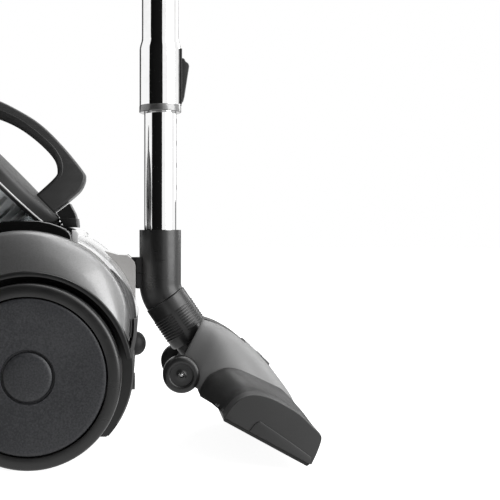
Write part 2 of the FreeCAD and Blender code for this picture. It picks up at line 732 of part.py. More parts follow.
def upper_tube():
    """The outer tube: a wide lower end for the lock, then a cone, then the plain tube."""
    wide = 20.7
    narrow_z = 399.0
    wide_z = 390.0
    outside = fused([post(wide, WAND_X, 0, RING_Z + 7, wide_z),
                     Part.makeCone(wide, UPPER_TUBE_R, narrow_z - wide_z, V(WAND_X, 0, wide_z)),
                     post(UPPER_TUBE_R, WAND_X, 0, narrow_z, UPPER_TOP - SOCKET_DEPTH)])
    inside = fused([post(wide - TUBE_WALL, WAND_X, 0, RING_Z, wide_z),
                    Part.makeCone(wide - TUBE_WALL, UPPER_TUBE_R - TUBE_WALL, narrow_z - wide_z,
                                  V(WAND_X, 0, wide_z)),
                    post(UPPER_TUBE_R - TUBE_WALL, WAND_X, 0, narrow_z - 1, UPPER_TOP)])
    window = box(WAND_X + 10, WAND_X + 30, -6.5, 6.5, LATCH_Z[0] - 2, LATCH_Z[1] + 5)
    return outside.cut(inside).cut(window)


def tube_ring():
    """The end ring and inner sleeve in the wide end of the upper tube."""
    head = pipe(21.0, LOWER_TUBE_R + RUN, WAND_X, 0, RING_Z, RING_Z + 7)
    sleeve = pipe(19.8, LOWER_TUBE_R + RUN, WAND_X, 0, RING_Z + 7, 386)
    window = box(WAND_X + 12, WAND_X + 30, -6.5, 6.5, LATCH_Z[0] - 2, LATCH_Z[1] + 5)
    return head.fuse(sleeve).cut(window)


def tube_latch():
    """The thumb slide that locks the tubes: its wedge stands out of the wide end."""
    x = WAND_X
    wedge = slab([(x + 17.5, LATCH_Z[0]), (x + 23.0, LATCH_Z[0]), (x + 28.8, 371), (x + 28.8, 374.5),
                  (x + 23.6, LATCH_Z[1]), (x + 17.5, LATCH_Z[1])], -6, 6)
    return wedge


def wand_socket():
    """The friction socket on the upper tube's top, where the hose handle plugs in."""
    outside = post(SOCKET_R, WAND_X, 0, UPPER_TOP - SOCKET_LENGTH, UPPER_TOP)
    grip = post(UPPER_TUBE_R, WAND_X, 0, UPPER_TOP - SOCKET_LENGTH - 1, UPPER_TOP - SOCKET_DEPTH)
    bore = post(SOCKET_BORE_R, WAND_X, 0, UPPER_TOP - SOCKET_LENGTH, UPPER_TOP + 1)
    return outside.cut(grip).cut(bore)


def swivel_sleeve():
    """The ribbed sleeve that turns on the neck's spigot, down to the barrel of the tilt joint."""
    start = NECK_REACH + GAP
    tube = post(SLEEVE_R, 0, 0, start, 55)
    shank = post(18.5, 0, 0, 50, PIVOT_REACH)
    barrel = Part.makeCylinder(19, 44, V(0, -22, PIVOT_REACH), V(0, 1, 0))
    pins = Part.makeCylinder(5, 66, V(0, -33, PIVOT_REACH), V(0, 1, 0))
    bore = post(14.5, 0, 0, start - 1, PIVOT_REACH + 40)
    socket = post(SPIGOT_R + RUN, 0, 0, start - 1, NECK_REACH + 14.5)
    ribs = [pipe(SLEEVE_R + 0.55, SLEEVE_R - 0.5, 0, 0, 22 + 2.6 * i, 23.2 + 2.6 * i) for i in range(9)]
    pins = pins.cut(Part.makeCylinder(30, 36, V(0, -18, PIVOT_REACH), V(0, 1, 0)))
    whole = fused([tube, shank, barrel] + ribs).cut(bore).cut(socket).fuse(pins)
    return along_neck(whole)


# ---- floor head: made level, u along X from its heel, h along Z from its sole --------------------------------------
def in_head(shape):
    return placed(shape, HEAD_LEAN, HEAD_HEEL[0], HEAD_HEEL[1])


END_TOP = [(1.8, 15), (5.8, 25), (14, 33), (28, 37.3), (46, 37.7), (58, 36.6), (71, 33), (80, 31)]
MID_TOP = [(-19, 20), (-14, 29), (-6, 37), (10, 41), (46, 42), (58, 39.5), (71, 36), (80, 32)]
SOLE = 3.0                       # thickness of the sole plate


def head_wire(top, heel, y):
    points = [(heel, SOLE + GAP)] + top + [(82.5, 28), (86, SOLE + GAP)]
    return Part.makePolygon([V(u, y, h) for u, h in points + points[:1]])


def nozzle_shape(y_mid, y_end):
    """The nozzle's outside, low at both ends and higher in the middle."""
    middle = Part.Face(head_wire(MID_TOP, -20, -y_mid)).extrude(V(0, 2 * y_mid, 0))
    slope = Part.makeLoft([head_wire(MID_TOP, -20, y_mid), head_wire(END_TOP, 0.5, y_end - 12)], True, True)
    end = Part.Face(head_wire(END_TOP, 0.5, y_end - 12)).extrude(V(0, 12, 0))
    return fused([middle, both(slope), both(end)])


CAP_IN = 108.0


def swing_room():
    """The room in the head for the barrel and the sleeve, over the whole tilt."""
    half = 22.4
    u, h = HEAD_PIVOT
    slot = slab([(2, 90), (2, 26), (u, h - 22.5), (u - 12, h - 20.6), (-90, 38), (-90, 90)], -half, half)
    return slot.fuse(rod(22.5, u, -half, half, h))


def nozzle_body():
    outer = nozzle_shape(62, CAP_IN)
    pocket = slab([(4, 0), (8, 22), (16, 29), (60, 29), (77, 24), (81, 0)], -CAP_IN + 3, CAP_IN - 3)
    u, h = HEAD_PIVOT
    cheeks = both(slab([(-20, SOLE + GAP), (-44, 4), (-48, 9), (-46, 30), (-40, 39), (-20, 44), (0, 30)], 23, 34))
    whole = fused([outer.cut(pocket), cheeks]).cut(swing_room())
    whole = whole.cut(rod(5 + RUN, u, -40, 40, h))
    throat = slab([(-30, 6), (20, 6), (20, 26), (-30, 26)], -14, 14)
    return whole.cut(throat).cut(rod(HEAD_AXLE_R + RUN, HEAD_WHEEL[0], -80, 80, HEAD_WHEEL[1]))


HEAD_AXLE_R = 2.5


def hood_wire(points, y):
    return Part.makePolygon([V(u, y, h) for u, h in points + points[:1]])


def top_cover():
    """The grey hood over the tilt joint, wide at its foot, with a slot for the sleeve's swing."""
    high = [(-30, 42.6), (-45, 50), (-43, 64), (-24, 66), (-10, 65), (9, 61), (29, 55), (47, 47.5), (56, 43.0)]
    low = [(-28, 42.6), (-38, 45), (-36, 50), (-22, 51.5), (-9, 51), (8, 49), (26, 46.5), (40, 44.2), (52, 43.0)]
    middle = Part.Face(hood_wire(high, -34)).extrude(V(0, 68, 0))
    flank = Part.makeLoft([hood_wire(high, 34), hood_wire(low, 56)], True, True)
    hood = fused([middle, both(flank)])
    inner = slab([(-42, 40), (-40, 60), (-10, 61), (8, 57), (28, 51), (40, 45), (44, 40)], -30, 30)
    skirt = both(slab([(-47, 14.5), (-47, 40), (-44, 56), (-24, 56), (-20.5, 14.5)], 34.3, 37.3))
    whole = fused([hood.cut(inner), skirt.cut(nozzle_shape(62, CAP_IN))]).cut(swing_room())
    whole = whole.cut(both(box(-50, 2, 22.0, 34.2, 0, 46)))
    return whole.cut(pedal_room())


PEDAL_U = 22.0
PEDAL_H = 57.0


def pedal_room():
    return box(PEDAL_U - 13, PEDAL_U + 13, -15, 15, 40, 80)


def brush_pedal():
    """The rocker on the hood that drops and lifts the brush frame."""
    plate = slab([(PEDAL_U - 12, 62.5), (PEDAL_U + 12, 56.5), (PEDAL_U + 12, 53), (PEDAL_U - 12, 59)], -14, 14)
    knuckle = rod(4, PEDAL_U, -14, 14, PEDAL_H - 1)
    return plate.fuse(knuckle).cut(rod(1.5 + RUN, PEDAL_U, -30, 30, PEDAL_H - 1))


def pedal_pin():
    return rod(1.5, PEDAL_U, -17, 17, PEDAL_H - 1)


def sole_plate():
    """The plate with the suction mouth and the two slots for the brushes."""
    outer = slab([(2, 0), (84, 0), (85.5, SOLE), (1, SOLE)], -HEAD_HALF + 4, HEAD_HALF - 4)
    heel = slab([(-19, SOLE), (-17, 0.8), (3, 0), (3, SOLE)], -60, 60)
    mouth = box(38, 60, -100, 100, -1, 10)
    slots = [box(u - 0.5, u + BRUSH_T + 0.5, -105, 105, -1, 10) for u in BRUSH_U]
    plate = outer.fuse(heel).cut(fused([mouth] + slots))
    return plate.cut(box(-30, -8, -15, 15, -1, 10))


BRUSH_U = (26.0, 70.0)
BRUSH_T = 5.0


def brush_frame():
    """The inner frame that carries both bristle strips up and down."""
    rails = [box(u, u + BRUSH_T, -104, 104, 8, 12) for u in BRUSH_U]
    ties = [box(BRUSH_U[0], BRUSH_U[1] + BRUSH_T, y - 3, y + 3, 12, 14) for y in (-90, 90)]
    return fused(rails + ties)


def bristles():
    return Part.makeCompound([box(u + 1, u + BRUSH_T - 1, -103, 103, 0.6, 8) for u in BRUSH_U])


def thread_lifters():
    """Two pads of short pile beside the mouth, on the sole."""
    return [box(u, u + 4, -96, 96, -1, 0) for u in (33.0, 62.0)]


def end_cap():
    """The dark cap on one end of the nozzle."""
    start = CAP_IN + GAP
    thick = HEAD_HALF - start
    cap = Part.Face(head_wire(END_TOP, 0.5, start)).extrude(V(0, thick, 0))
    room = slab([(8, SOLE), (12, 22), (20, 30), (58, 30), (74, 25), (78, SOLE)], start - 1, HEAD_HALF - SKIN)
    return cap.cut(room)


def head_axle():
    return rod(HEAD_AXLE_R, HEAD_WHEEL[0], -58, 58, HEAD_WHEEL[1])


def head_wheel():
    wheel = rod(17.6, HEAD_WHEEL[0], 40, 56, HEAD_WHEEL[1])
    rims = [e for e in wheel.Edges if e.Length > 100]
    wheel = wheel.makeFillet(2.5, rims)
    dish = ring(11, 5, HEAD_WHEEL[0], 54.5, 60, HEAD_WHEEL[1])
    return wheel.cut(dish).cut(rod(HEAD_AXLE_R + RUN, HEAD_WHEEL[0], 0, 80, HEAD_WHEEL[1]))


# ---- every node ----------------------------------------------------------------------------------------------------
def pair(shape):
    """A left and a right piece that share one node."""
    return Part.makeCompound([shape, mirrored(shape)])


def write_body():
    save("lower_housing", lower_housing().cut(screw_holes()))
    save("nose_cover", nose_cover())
    save("bin_cradle", cradle())
    save("rear_housing", rear_housing())
    save("exhaust_grille", exhaust_grille())
    save("parking_boss", parking_boss())
    save("rear_bumper", rear_bumper())
    save("cord_outlet", cord_outlet())
    save("floor_screws", floor_screws())
    save("side_plates", Part.makeCompound([side_plate().fuse(reel_axle()), mirrored(side_plate())]))
    save("fenders", pair(fender()))
    save("side_trims", pair(side_trim()))
    save("wheel_axles", pair(axle()))
    for side, turn in (("right", lambda shape: shape), ("left", mirrored)):
        save("tyre_" + side, turn(tyre()))
        save("wheel_disc_" + side, turn(wheel_disc()))
        save("hub_cap_" + side, turn(hub_cap()))
    save("rewind_pedal", pedal())
    save("power_pedal", mirrored(pedal()))


def write_inside():
    save("motor_body", motor_body())
    save("motor_saddle", motor_saddle())
    save("fan_housing", fan_housing())
    save("impeller", impeller().fuse(motor_shaft()))
    save("air_duct", air_duct())
    save("cord_reel", cord_reel())
    save("exhaust_filter", exhaust_filter())
    save("control_board", Part.makeCompound([control_board(), power_switch()]))
    save("caster_fork", Part.makeCompound([caster_fork(), caster_pin()]))
    save("caster_wheel", caster_wheel())


def write_bin():
    save("dust_bin", in_bin(Part.makeCompound([dust_bin(), door_pin()])))
    for maker in (hose_inlet, bin_lid, mesh_shroud, cyclone_cone, lid_filter, bin_door, door_seal):
        save(maker.__name__, in_bin(maker()))
    save("carry_handle", handle().cut(button_room()))
    save("release_button", release_button())
    save("latch_housing", latch_housing())


def write_wand():
    save("lower_tube", Part.makeCompound([lower_tube(), tube_guide()]))
    for maker in (neck_elbow, parking_clip, upper_tube, tube_ring, tube_latch, wand_socket, swivel_sleeve):
        save(maker.__name__, maker())


def write_head():
    for maker in (nozzle_body, brush_pedal, brush_frame, bristles, head_axle):
        save(maker.__name__, in_head(maker()))
    save("top_cover", in_head(Part.makeCompound([top_cover(), pedal_pin()])))
    save("sole_plate", in_head(Part.makeCompound([sole_plate()] + thread_lifters())))
    save("end_caps", in_head(pair(end_cap())))
    for side, turn in (("right", lambda shape: shape), ("left", mirrored)):
        save("head_wheel_" + side, in_head(turn(head_wheel())))


write_body()
write_inside()
write_bin()
write_wand()
write_head()
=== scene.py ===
import bpy
import bmesh
import json
import math
from mathutils import Matrix, Vector


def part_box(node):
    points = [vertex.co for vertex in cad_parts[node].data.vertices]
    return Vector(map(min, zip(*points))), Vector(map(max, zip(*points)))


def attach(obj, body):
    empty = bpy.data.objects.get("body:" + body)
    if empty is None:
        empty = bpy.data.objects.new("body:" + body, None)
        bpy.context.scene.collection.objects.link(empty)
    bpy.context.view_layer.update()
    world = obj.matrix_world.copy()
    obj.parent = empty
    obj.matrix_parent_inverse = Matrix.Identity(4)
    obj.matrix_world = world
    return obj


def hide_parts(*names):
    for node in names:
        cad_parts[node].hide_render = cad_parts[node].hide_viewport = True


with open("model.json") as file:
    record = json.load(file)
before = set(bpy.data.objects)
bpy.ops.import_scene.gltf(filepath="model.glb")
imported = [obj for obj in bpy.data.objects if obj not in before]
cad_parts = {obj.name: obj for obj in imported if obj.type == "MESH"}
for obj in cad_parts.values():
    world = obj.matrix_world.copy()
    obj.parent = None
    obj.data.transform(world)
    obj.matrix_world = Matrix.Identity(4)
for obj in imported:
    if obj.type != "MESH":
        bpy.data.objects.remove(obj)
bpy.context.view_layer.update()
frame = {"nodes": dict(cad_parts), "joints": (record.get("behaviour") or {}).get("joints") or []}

# Meshes are made in millimetres and brought to metres when a piece is finished.
MM = 0.001
JOINTS = {joint["name"]: joint for joint in frame["joints"]}
SIDE_NAME = {-1: "left", 1: "right"}


def place_of(joint):
    return Vector(JOINTS[joint]["pos_m"]) / MM


def axis_of(joint):
    return Vector(JOINTS[joint]["axis"]).normalized()


def span(node):
    """A node's lowest and highest corners, in millimetres."""
    low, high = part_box(node)
    return Vector(low) / MM, Vector(high) / MM


# ---- the object's own places, all read from the frame ----
WHEEL = place_of("wheel_left_spin")
WHEEL_R = (span("tyre_left")[1].z - span("tyre_left")[0].z) / 2
WHEEL_IN = -span("tyre_left")[1].y
WHEEL_OUT = -span("tyre_left")[0].y
WAND_X = place_of("head_swivel").x
BEND = place_of("head_swivel")
NECK = axis_of("head_swivel")
PIVOT = place_of("head_tilt")
LEAN = math.atan2(-JOINTS["brush_frame_drop"]["axis"][0], -JOINTS["brush_frame_drop"]["axis"][2])
HEAD_WHEEL = place_of("head_wheel_left_spin")
BIN_AXIS = Vector((1, 0, 1)).normalized()
BODY_HALF = span("rear_housing")[1].y


# ---- camera, light and floor ----
def make_camera():
    """Level with the wheel's top, looking across the machine, with its rear half in view."""
    data = bpy.data.cameras.new("camera")
    distance = 0.93
    width_in_view = 0.5
    data.sensor_width = 36.0
    data.lens = data.sensor_width * distance / width_in_view
    data.shift_x = 0.21
    data.shift_y = -0.03
    camera = bpy.data.objects.new("camera", data)
    bpy.context.scene.collection.objects.link(camera)
    camera.location = (0.0915, -distance, 0.204)
    camera.rotation_euler = (math.radians(90), 0, 0)
    bpy.context.scene.camera = camera


def make_light(name, place, aim, size, power, tall=None):
    data = bpy.data.lights.new(name, "AREA")
    data.energy = power
    data.size = size
    if tall:
        data.shape = "RECTANGLE"
        data.size_y = tall
    light = bpy.data.objects.new(name, data)
    bpy.context.scene.collection.objects.link(light)
    light.location = place
    light.rotation_euler = (Vector(aim) - Vector(place)).to_track_quat("-Z", "Y").to_euler()


def make_prop(name, shape, tone):
    """A studio surface with a dead matt finish. Gives back its object and its shader."""
    mesh = bpy.data.meshes.new(name)
    shape.to_mesh(mesh)
    shape.free()
    prop = bpy.data.objects.new(name, mesh)
    bpy.context.scene.collection.objects.link(prop)
    finish = bpy.data.materials.new(name)
    finish.use_nodes = True
    shader = finish.node_tree.nodes["Principled BSDF"]
    shader.inputs["Base Color"].default_value = (tone, tone, tone, 1)
    shader.inputs["Roughness"].default_value = 1.0
    shader.inputs["Specular IOR Level"].default_value = 0.0
    mesh.materials.append(finish)
    return prop, shader


def make_card(name, corners, tone):
    """A dark card, seen only in reflections."""
    shape = bmesh.new()
    shape.faces.new([shape.verts.new(corner) for corner in corners])
    card, _ = make_prop(name, shape, tone)
    card.visible_camera = False
    card.visible_diffuse = False
    card.visible_shadow = False


def make_studio():
    scene = bpy.context.scene
    scene.view_settings.view_transform = "Standard"
    world = bpy.data.worlds.new("studio")
    world.use_nodes = True
    scene.world = world
    nodes, links = world.node_tree.nodes, world.node_tree.links
    back = nodes["Background"]
    path = nodes.new("ShaderNodeLightPath")
    strength = nodes.new("ShaderNodeMapRange")
    strength.inputs["To Min"].default_value = 1.0
    strength.inputs["To Max"].default_value = 0.22
    back.inputs["Color"].default_value = (1, 1, 1, 1)
    links.new(path.outputs["Is Diffuse Ray"], strength.inputs["Value"])
    links.new(strength.outputs["Result"], back.inputs["Strength"])
    make_light("key", (1.7, -0.8, 0.95), (0.0, 0.0, 0.15), 1.5, 44.0, 2.0)
    make_light("top", (0.5, 0.45, 1.7), (0, 0, 0.1), 1.2, 14.0)
    make_light("rear", (0.9, 1.3, 0.8), (0, 0, 0.2), 1.0, 10.0)
    foot = -0.1
    head = 2.4
    black = 0.01
    dim = 0.12
    make_card("dark_card", [(-2.3, -1.2, foot), (0.46, -1.6, foot), (0.46, -1.6, head), (-2.3, -1.2, head)],
              black)
    make_card("dark_ceiling", [(-2.3, -1.6, head), (0.15, -1.6, head), (0.15, 0.5, head), (-2.3, 0.5, head)],
              black)
    for name, left, right in (("edge_card_left", -1.2, -0.12), ("edge_card_right", 0.30, 1.3)):
        make_card(name, [(left, 1.3, foot), (right, 1.3, foot), (right, 1.3, head), (left, 1.3, head)], dim)
    make_floor()


def make_floor():
    shape = bmesh.new()
    bmesh.ops.create_circle(shape, cap_ends=True, segments=96, radius=14.0)
    floor, shader = make_prop("floor", shape, 0.6)
    floor.location.z = -0.0002
    shader.inputs["Emission Color"].default_value = (1, 1, 1, 1)
    shader.inputs["Emission Strength"].default_value = 0.93
    floor.visible_diffuse = False
    floor.visible_glossy = False


# ---- finishes ----
class Value:
    """What a node puts out. Arithmetic on it adds Math nodes to the finish."""

    def __init__(self, finish, socket):
        self.finish = finish
        self.socket = socket

    def maths(self, operation, first, second):
        return self.finish.node("ShaderNodeMath", {"operation": operation}, [first, second])

    def __add__(self, other):
        return self.maths("ADD", self, other)

    __radd__ = __add__

    def __mul__(self, other):
        return self.maths("MULTIPLY", self, other)

    __rmul__ = __mul__


class Finish:
    """One material: constants go straight on its shader, and node() adds any other node."""

    def __init__(self, name, **constants):
        self.material = bpy.data.materials.new(name)
        self.material.use_nodes = True
        self.tree = self.material.node_tree
        self.shader = self.tree.nodes["Principled BSDF"]
        for socket, value in constants.items():
            self.shader.inputs[socket.replace("_", " ")].default_value = value

    def node(self, kind, settings=None, values=(), output=0):
        made = self.tree.nodes.new(kind)
        for key, value in (settings or {}).items():
            setattr(made, key, value)
        pairs = values.items() if isinstance(values, dict) else enumerate(values)
        for key, value in pairs:
            if isinstance(value, Value):
                self.tree.links.new(value.socket, made.inputs[key])
            else:
                made.inputs[key].default_value = value
        return Value(self, made.outputs[output])

    def where(self):
        return Value(self, self.node("ShaderNodeTexCoord").socket.node.outputs["Object"])

    def noise(self, where, scale, detail=4.0, rough=0.55):
        return self.node("ShaderNodeTexNoise", {}, {"Vector": where, "Scale": scale, "Detail": detail,
                                                    "Roughness": rough})

    def stretched(self, where, scale):
        return self.node("ShaderNodeMapping", {}, {"Vector": where, "Scale": scale})

    def blend(self, factor, first, second):
        """From the first colour to the second."""
        colour_output = 2
        return self.node("ShaderNodeMix", {"data_type": "RGBA"},
                         {0: factor, 6: (*first, 1), 7: (*second, 1)}, colour_output)

    def soften(self, value, low, high, to_low=0.0, to_high=1.0):
        return self.node("ShaderNodeMapRange", {}, {"Value": value, "From Min": low, "From Max": high,
                                                    "To Min": to_low, "To Max": to_high})

    def put(self, socket, value):
        self.tree.links.new(value.socket, self.shader.inputs[socket])

    def bump(self, height, distance, strength=1.0):
        raised = self.node("ShaderNodeBump", {}, {"Height": height, "Distance": distance,
                                                  "Strength": strength})
        self.put("Normal", raised)


def moulded(name, dark, light, rough, grain=1800.0, depth=0.00002, gloss=0.0, spread=0.08, speckle=0.35):
    """Moulded plastic: a fine grain, slow changes of shade, and handled, slightly polished places."""
    finish = Finish(name, Coat_Weight=gloss, Coat_Roughness=0.04, IOR=1.5)
    where = finish.where()
    fine = finish.noise(where, grain, 3.0)
    broad = finish.noise(where, 14.0, 5.0)
    smears = finish.noise(finish.stretched(where, (9.0, 30.0, 60.0)), 3.0, 6.0, 0.7)
    shade = finish.soften(broad + speckle * fine, 0.28 + 0.5 * speckle, 0.72 + 0.66 * speckle)
    finish.put("Base Color", finish.blend(shade, dark, light))
    handled = finish.soften(smears, 0.35, 0.7, rough - spread / 2, rough + spread)
    finish.put("Roughness", handled + 0.1 * spread * fine)
    finish.bump(fine, depth)
    return finish.material


def grey(value, warm=0.0):
    return (value * (1 + warm), value, value * (1 - warm))


def lacquered(name, dark, light, rough, flake=2600.0, metal=0.0, coat=1.0):
    """Painted plastic with a metallic flake under clear lacquer, and a trace of orange peel."""
    finish = Finish(name, Coat_Weight=coat, Coat_Roughness=0.05, IOR=1.5)
    where = finish.where()
    flakes = finish.node("ShaderNodeTexVoronoi", {}, {"Vector": where, "Scale": flake}, output=0)
    broad = finish.noise(where, 9.0, 3.0)
    peel = finish.noise(where, 260.0, 2.0)
    sparkle = finish.soften(flakes, 0.1, 0.75)
    shade = finish.soften(0.6 * broad + 0.55 * sparkle, 0.25, 0.9)
    finish.put("Base Color", finish.blend(shade, light, dark))
    finish.put("Roughness", rough + 0.12 * sparkle + 0.06 * broad)
    finish.put("Metallic", metal * (0.7 + 0.3 * sparkle))
    finish.bump(peel, 0.00002)
    return finish.material


def chromed(name):
    """Polished chrome with drawn lines along the tube and a few dull finger marks."""
    finish = Finish(name, Metallic=1.0)
    where = finish.where()
    drawn = finish.noise(finish.stretched(where, (1.0, 1.0, 0.02)), 1500.0, 3.0)
    marks = finish.soften(finish.noise(where, 24.0, 6.0, 0.65), 0.5, 0.78)
    finish.put("Base Color", finish.blend(marks, grey(0.93), grey(0.80, 0.006)))
    finish.put("Roughness", 0.035 + 0.05 * marks + 0.035 * drawn)
    finish.bump(drawn, 0.000003)
    return finish.material


def turned_steel(name, shade=0.6):
    finish = Finish(name, Metallic=1.0)
    where = finish.where()
    lines = finish.noise(finish.stretched(where, (40.0, 1.0, 40.0)), 90.0, 3.0)
    finish.put("Base Color", finish.blend(lines, grey(shade), grey(shade * 0.75)))
    finish.put("Roughness", 0.22 + 0.2 * lines)
    finish.bump(lines, 0.00001)
    return finish.material


def clear_plastic(name, tint):
    """Clear moulding with fine dust and rub marks on it."""
    finish = Finish(name, Transmission_Weight=1.0, IOR=1.45)
    where = finish.where()
    dust = finish.soften(finish.noise(where, 55.0, 8.0, 0.7), 0.48, 0.8)
    rubs = finish.soften(finish.noise(finish.stretched(where, (20.0, 3.0, 3.0)), 12.0, 5.0), 0.5, 0.8)
    finish.put("Base Color", finish.blend(dust, tint, grey(0.72)))
    finish.put("Roughness", 0.02 + 0.16 * dust + 0.08 * rubs)
    return finish.material


def rubber(name):
    finish = Finish(name, IOR=1.5)
    where = finish.where()
    bloom = finish.noise(where, 40.0, 7.0, 0.65)
    fine = finish.noise(where, 2400.0, 2.0)
    finish.put("Base Color", finish.blend(finish.soften(bloom, 0.35, 0.75), grey(0.010), grey(0.030)))
    finish.put("Roughness", 0.5 + 0.22 * bloom)
    finish.bump(fine, 0.00002)
    return finish.material


def fleece(name, colour):
    finish = Finish(name, Roughness=0.95, Sheen_Weight=0.3)
    where = finish.where()
    fibres = finish.noise(finish.stretched(where, (1.0, 6.0, 1.0)), 700.0, 8.0, 0.8)
    grime = finish.noise(where, 20.0, 4.0)
    soiled = grey(colour[0] * 0.7, 0.03)
    finish.put("Base Color", finish.blend(finish.soften(grime, 0.3, 0.8), colour, soiled))
    finish.bump(fibres, 0.0002)
    return finish.material


def bristle(name):
    finish = Finish(name, Roughness=0.6)
    where = finish.where()
    strands = finish.node("ShaderNodeTexWave", {"wave_type": "BANDS", "bands_direction": "Y"},
                          {"Vector": where, "Scale": 260.0, "Distortion": 1.5})
    finish.put("Base Color", finish.blend(strands, grey(0.008), grey(0.05)))
    finish.bump(strands, 0.0006)
    return finish.material


def coated_board(name):
    finish = Finish(name, Roughness=0.35)
    where = finish.where()
    spread = finish.stretched(where, (160.0, 160.0, 160.0))
    tracks = finish.node("ShaderNodeTexBrick", {}, {"Vector": spread}, 1)
    finish.put("Base Color", finish.blend(tracks, (0.01, 0.10, 0.03), (0.03, 0.20, 0.07)))
    finish.bump(tracks, 0.0001)
    return finish.material


MATT_BLACK = moulded("matt_black", grey(0.008), grey(0.017), 0.42)
SATIN_BLACK = moulded("satin_black", grey(0.010), grey(0.020), 0.30, 900.0, 0.00001)
GLOSS_BLACK = moulded("gloss_black", grey(0.005), grey(0.008), 0.10, 300.0, 0.000004, gloss=1.0, spread=0.04)
HANDLE_BLACK = moulded("handle_black", grey(0.046), grey(0.064), 0.36, 1400.0)
GRIP_BLACK = moulded("grip_black", grey(0.010), grey(0.018), 0.42, 700.0, 0.00006)
WHEEL_GREY = moulded("wheel_grey", (0.020, 0.021, 0.024), (0.066, 0.067, 0.072), 0.46, 620.0, 0.00012,
                     speckle=1.6)
TYRE_BLACK = moulded("tyre_black", grey(0.014), grey(0.028), 0.30, 2000.0)
HEAD_DARK = moulded("head_dark", grey(0.016), grey(0.030), 0.44, 1700.0, 0.00003)
CAP_DARK = moulded("cap_dark", grey(0.036), grey(0.050), 0.48, 1500.0, 0.00003)
HOOD_GREY = moulded("hood_grey", grey(0.19), grey(0.25), 0.45, 1600.0, 0.00003)
GRILLE_GREY = moulded("grille_grey", grey(0.13), grey(0.20), 0.42, 1500.0)
TRIM_GREY = moulded("trim_grey", grey(0.05), grey(0.075), 0.38, 1500.0)
INNER_GREY = moulded("inner_grey", grey(0.16), grey(0.24), 0.45)
FENDER_METAL = lacquered("fender_metal", grey(0.15), grey(0.29), 0.32, metal=0.9, coat=0.35)
SILVER = lacquered("silver_shell", grey(0.40), grey(0.55), 0.34, metal=0.35)
SILVER_SATIN = lacquered("silver_satin", grey(0.66), grey(0.80), 0.36, metal=0.05)
BOSS_METAL = lacquered("boss_silver", grey(0.46, 0.02), grey(0.62, 0.02), 0.34, metal=0.45)
RING_METAL = lacquered("ring_metal", grey(0.14), grey(0.22), 0.28, metal=0.8)
CHROME = chromed("chrome")
STEEL = turned_steel("turned_steel")
ZINC = turned_steel("motor_zinc", 0.5)
CLEAR = clear_plastic("clear_plastic", (0.90, 0.93, 0.94))
RUBBER = rubber("soft_rubber")
FLEECE = fleece("filter_fleece", (0.80, 0.80, 0.76))
BRISTLE = bristle("bristle")
BOARD = coated_board("circuit_board")


# ---- mesh helpers ----
CREASE = 32.0


def link_piece(name, mesh, material, body):
    for face in mesh.polygons:
        face.use_smooth = True
    mesh.materials.clear()
    mesh.materials.append(material)
    piece = bpy.data.objects.new(name, mesh)
    bpy.context.scene.collection.objects.link(piece)
    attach(piece, body)
    return piece


def finish_piece(shape, name, material, body, replaces=(), crease=CREASE, bevel=0.0, moved=None):
    """Closes the work on a shape: outward normals, sharp edges, metres, and its body."""
    bmesh.ops.remove_doubles(shape, verts=shape.verts, dist=0.002)
    if moved is not None:
        bmesh.ops.transform(shape, matrix=moved, verts=shape.verts)
    bmesh.ops.recalc_face_normals(shape, faces=shape.faces)
    if bevel:
        bevel_edges(shape, bevel, crease)
    piece = link_piece(name, in_metres(shape, name, crease), material, body)
    if replaces:
        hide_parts(*replaces)


def in_metres(shape, name, crease=CREASE):
    """The finished mesh: edges sharper than the crease stay sharp, and millimetres become metres."""
    for edge in shape.edges:
        edge.smooth = len(edge.link_faces) != 2 or edge.calc_face_angle(0) < math.radians(crease)
    bmesh.ops.scale(shape, vec=(MM, MM, MM), verts=shape.verts)
    mesh = bpy.data.meshes.new(name)
    shape.to_mesh(mesh)
    shape.free()
    return mesh


def round_rims(shape, rims, width, steps):
    bmesh.ops.bevel(shape, geom=rims, offset=width, segments=steps, profile=0.5, affect="EDGES", material=-1,
                    clamp_overlap=True)


def bevel_edges(shape, width, crease=CREASE, steps=3):
    limit = math.radians(crease)
    sharp = [e for e in shape.edges if len(e.link_faces) == 2 and e.calc_face_angle(0) > limit]
    round_rims(shape, sharp, width, steps)


def cut(shape, spot, normal, clear_outer=False):
    """Splits a shape along a plane and, if asked, takes away what lies past it."""
    bmesh.ops.bisect_plane(shape, geom=shape.verts[:] + shape.edges[:] + shape.faces[:], plane_co=spot,
                           plane_no=normal, clear_outer=clear_outer)


def cut_window(shape, planes, lowest=0.0):
    """Opens a window: takes away the faces above a height that lie behind every plane."""
    for spot, normal in planes:
        cut(shape, spot, normal)
    inside = [face for face in shape.faces if face.calc_center_median().z > lowest
              and all((face.calc_center_median() - spot).dot(normal) < 0 for spot, normal in planes)]
    bmesh.ops.delete(shape, geom=inside, context="FACES")


def copied(node):
    """A merged copy of a CAD piece, in millimetres."""
    shape = bmesh.new()
    shape.from_mesh(frame["nodes"][node].data)
    bmesh.ops.scale(shape, vec=(1 / MM, 1 / MM, 1 / MM), verts=shape.verts)
    bmesh.ops.remove_doubles(shape, verts=shape.verts, dist=0.01)
    return shape


def standing(origin, direction):
    """Turns a shape made round +Z at the origin so that it stands along a direction."""
    turn = Vector((0, 0, 1)).rotation_difference(Vector(direction)).to_matrix().to_4x4()
    return Matrix.Translation(origin) @ turn


def spun(profile, steps=96, angle=360.0):
    """Turns a profile of (radius, height) pairs round +Z."""
    shape = bmesh.new()
    corners = [shape.verts.new((radius, 0, height)) for radius, height in profile]
    edges = [shape.edges.new(pair) for pair in zip(corners, corners[1:] + corners[:1])]
    bmesh.ops.spin(shape, geom=corners + edges, cent=(0, 0, 0), axis=(0, 0, 1), angle=math.radians(angle),
                   steps=steps, use_merge=angle == 360.0, use_duplicate=False)
    bmesh.ops.remove_doubles(shape, verts=shape.verts, dist=0.001)
    return shape


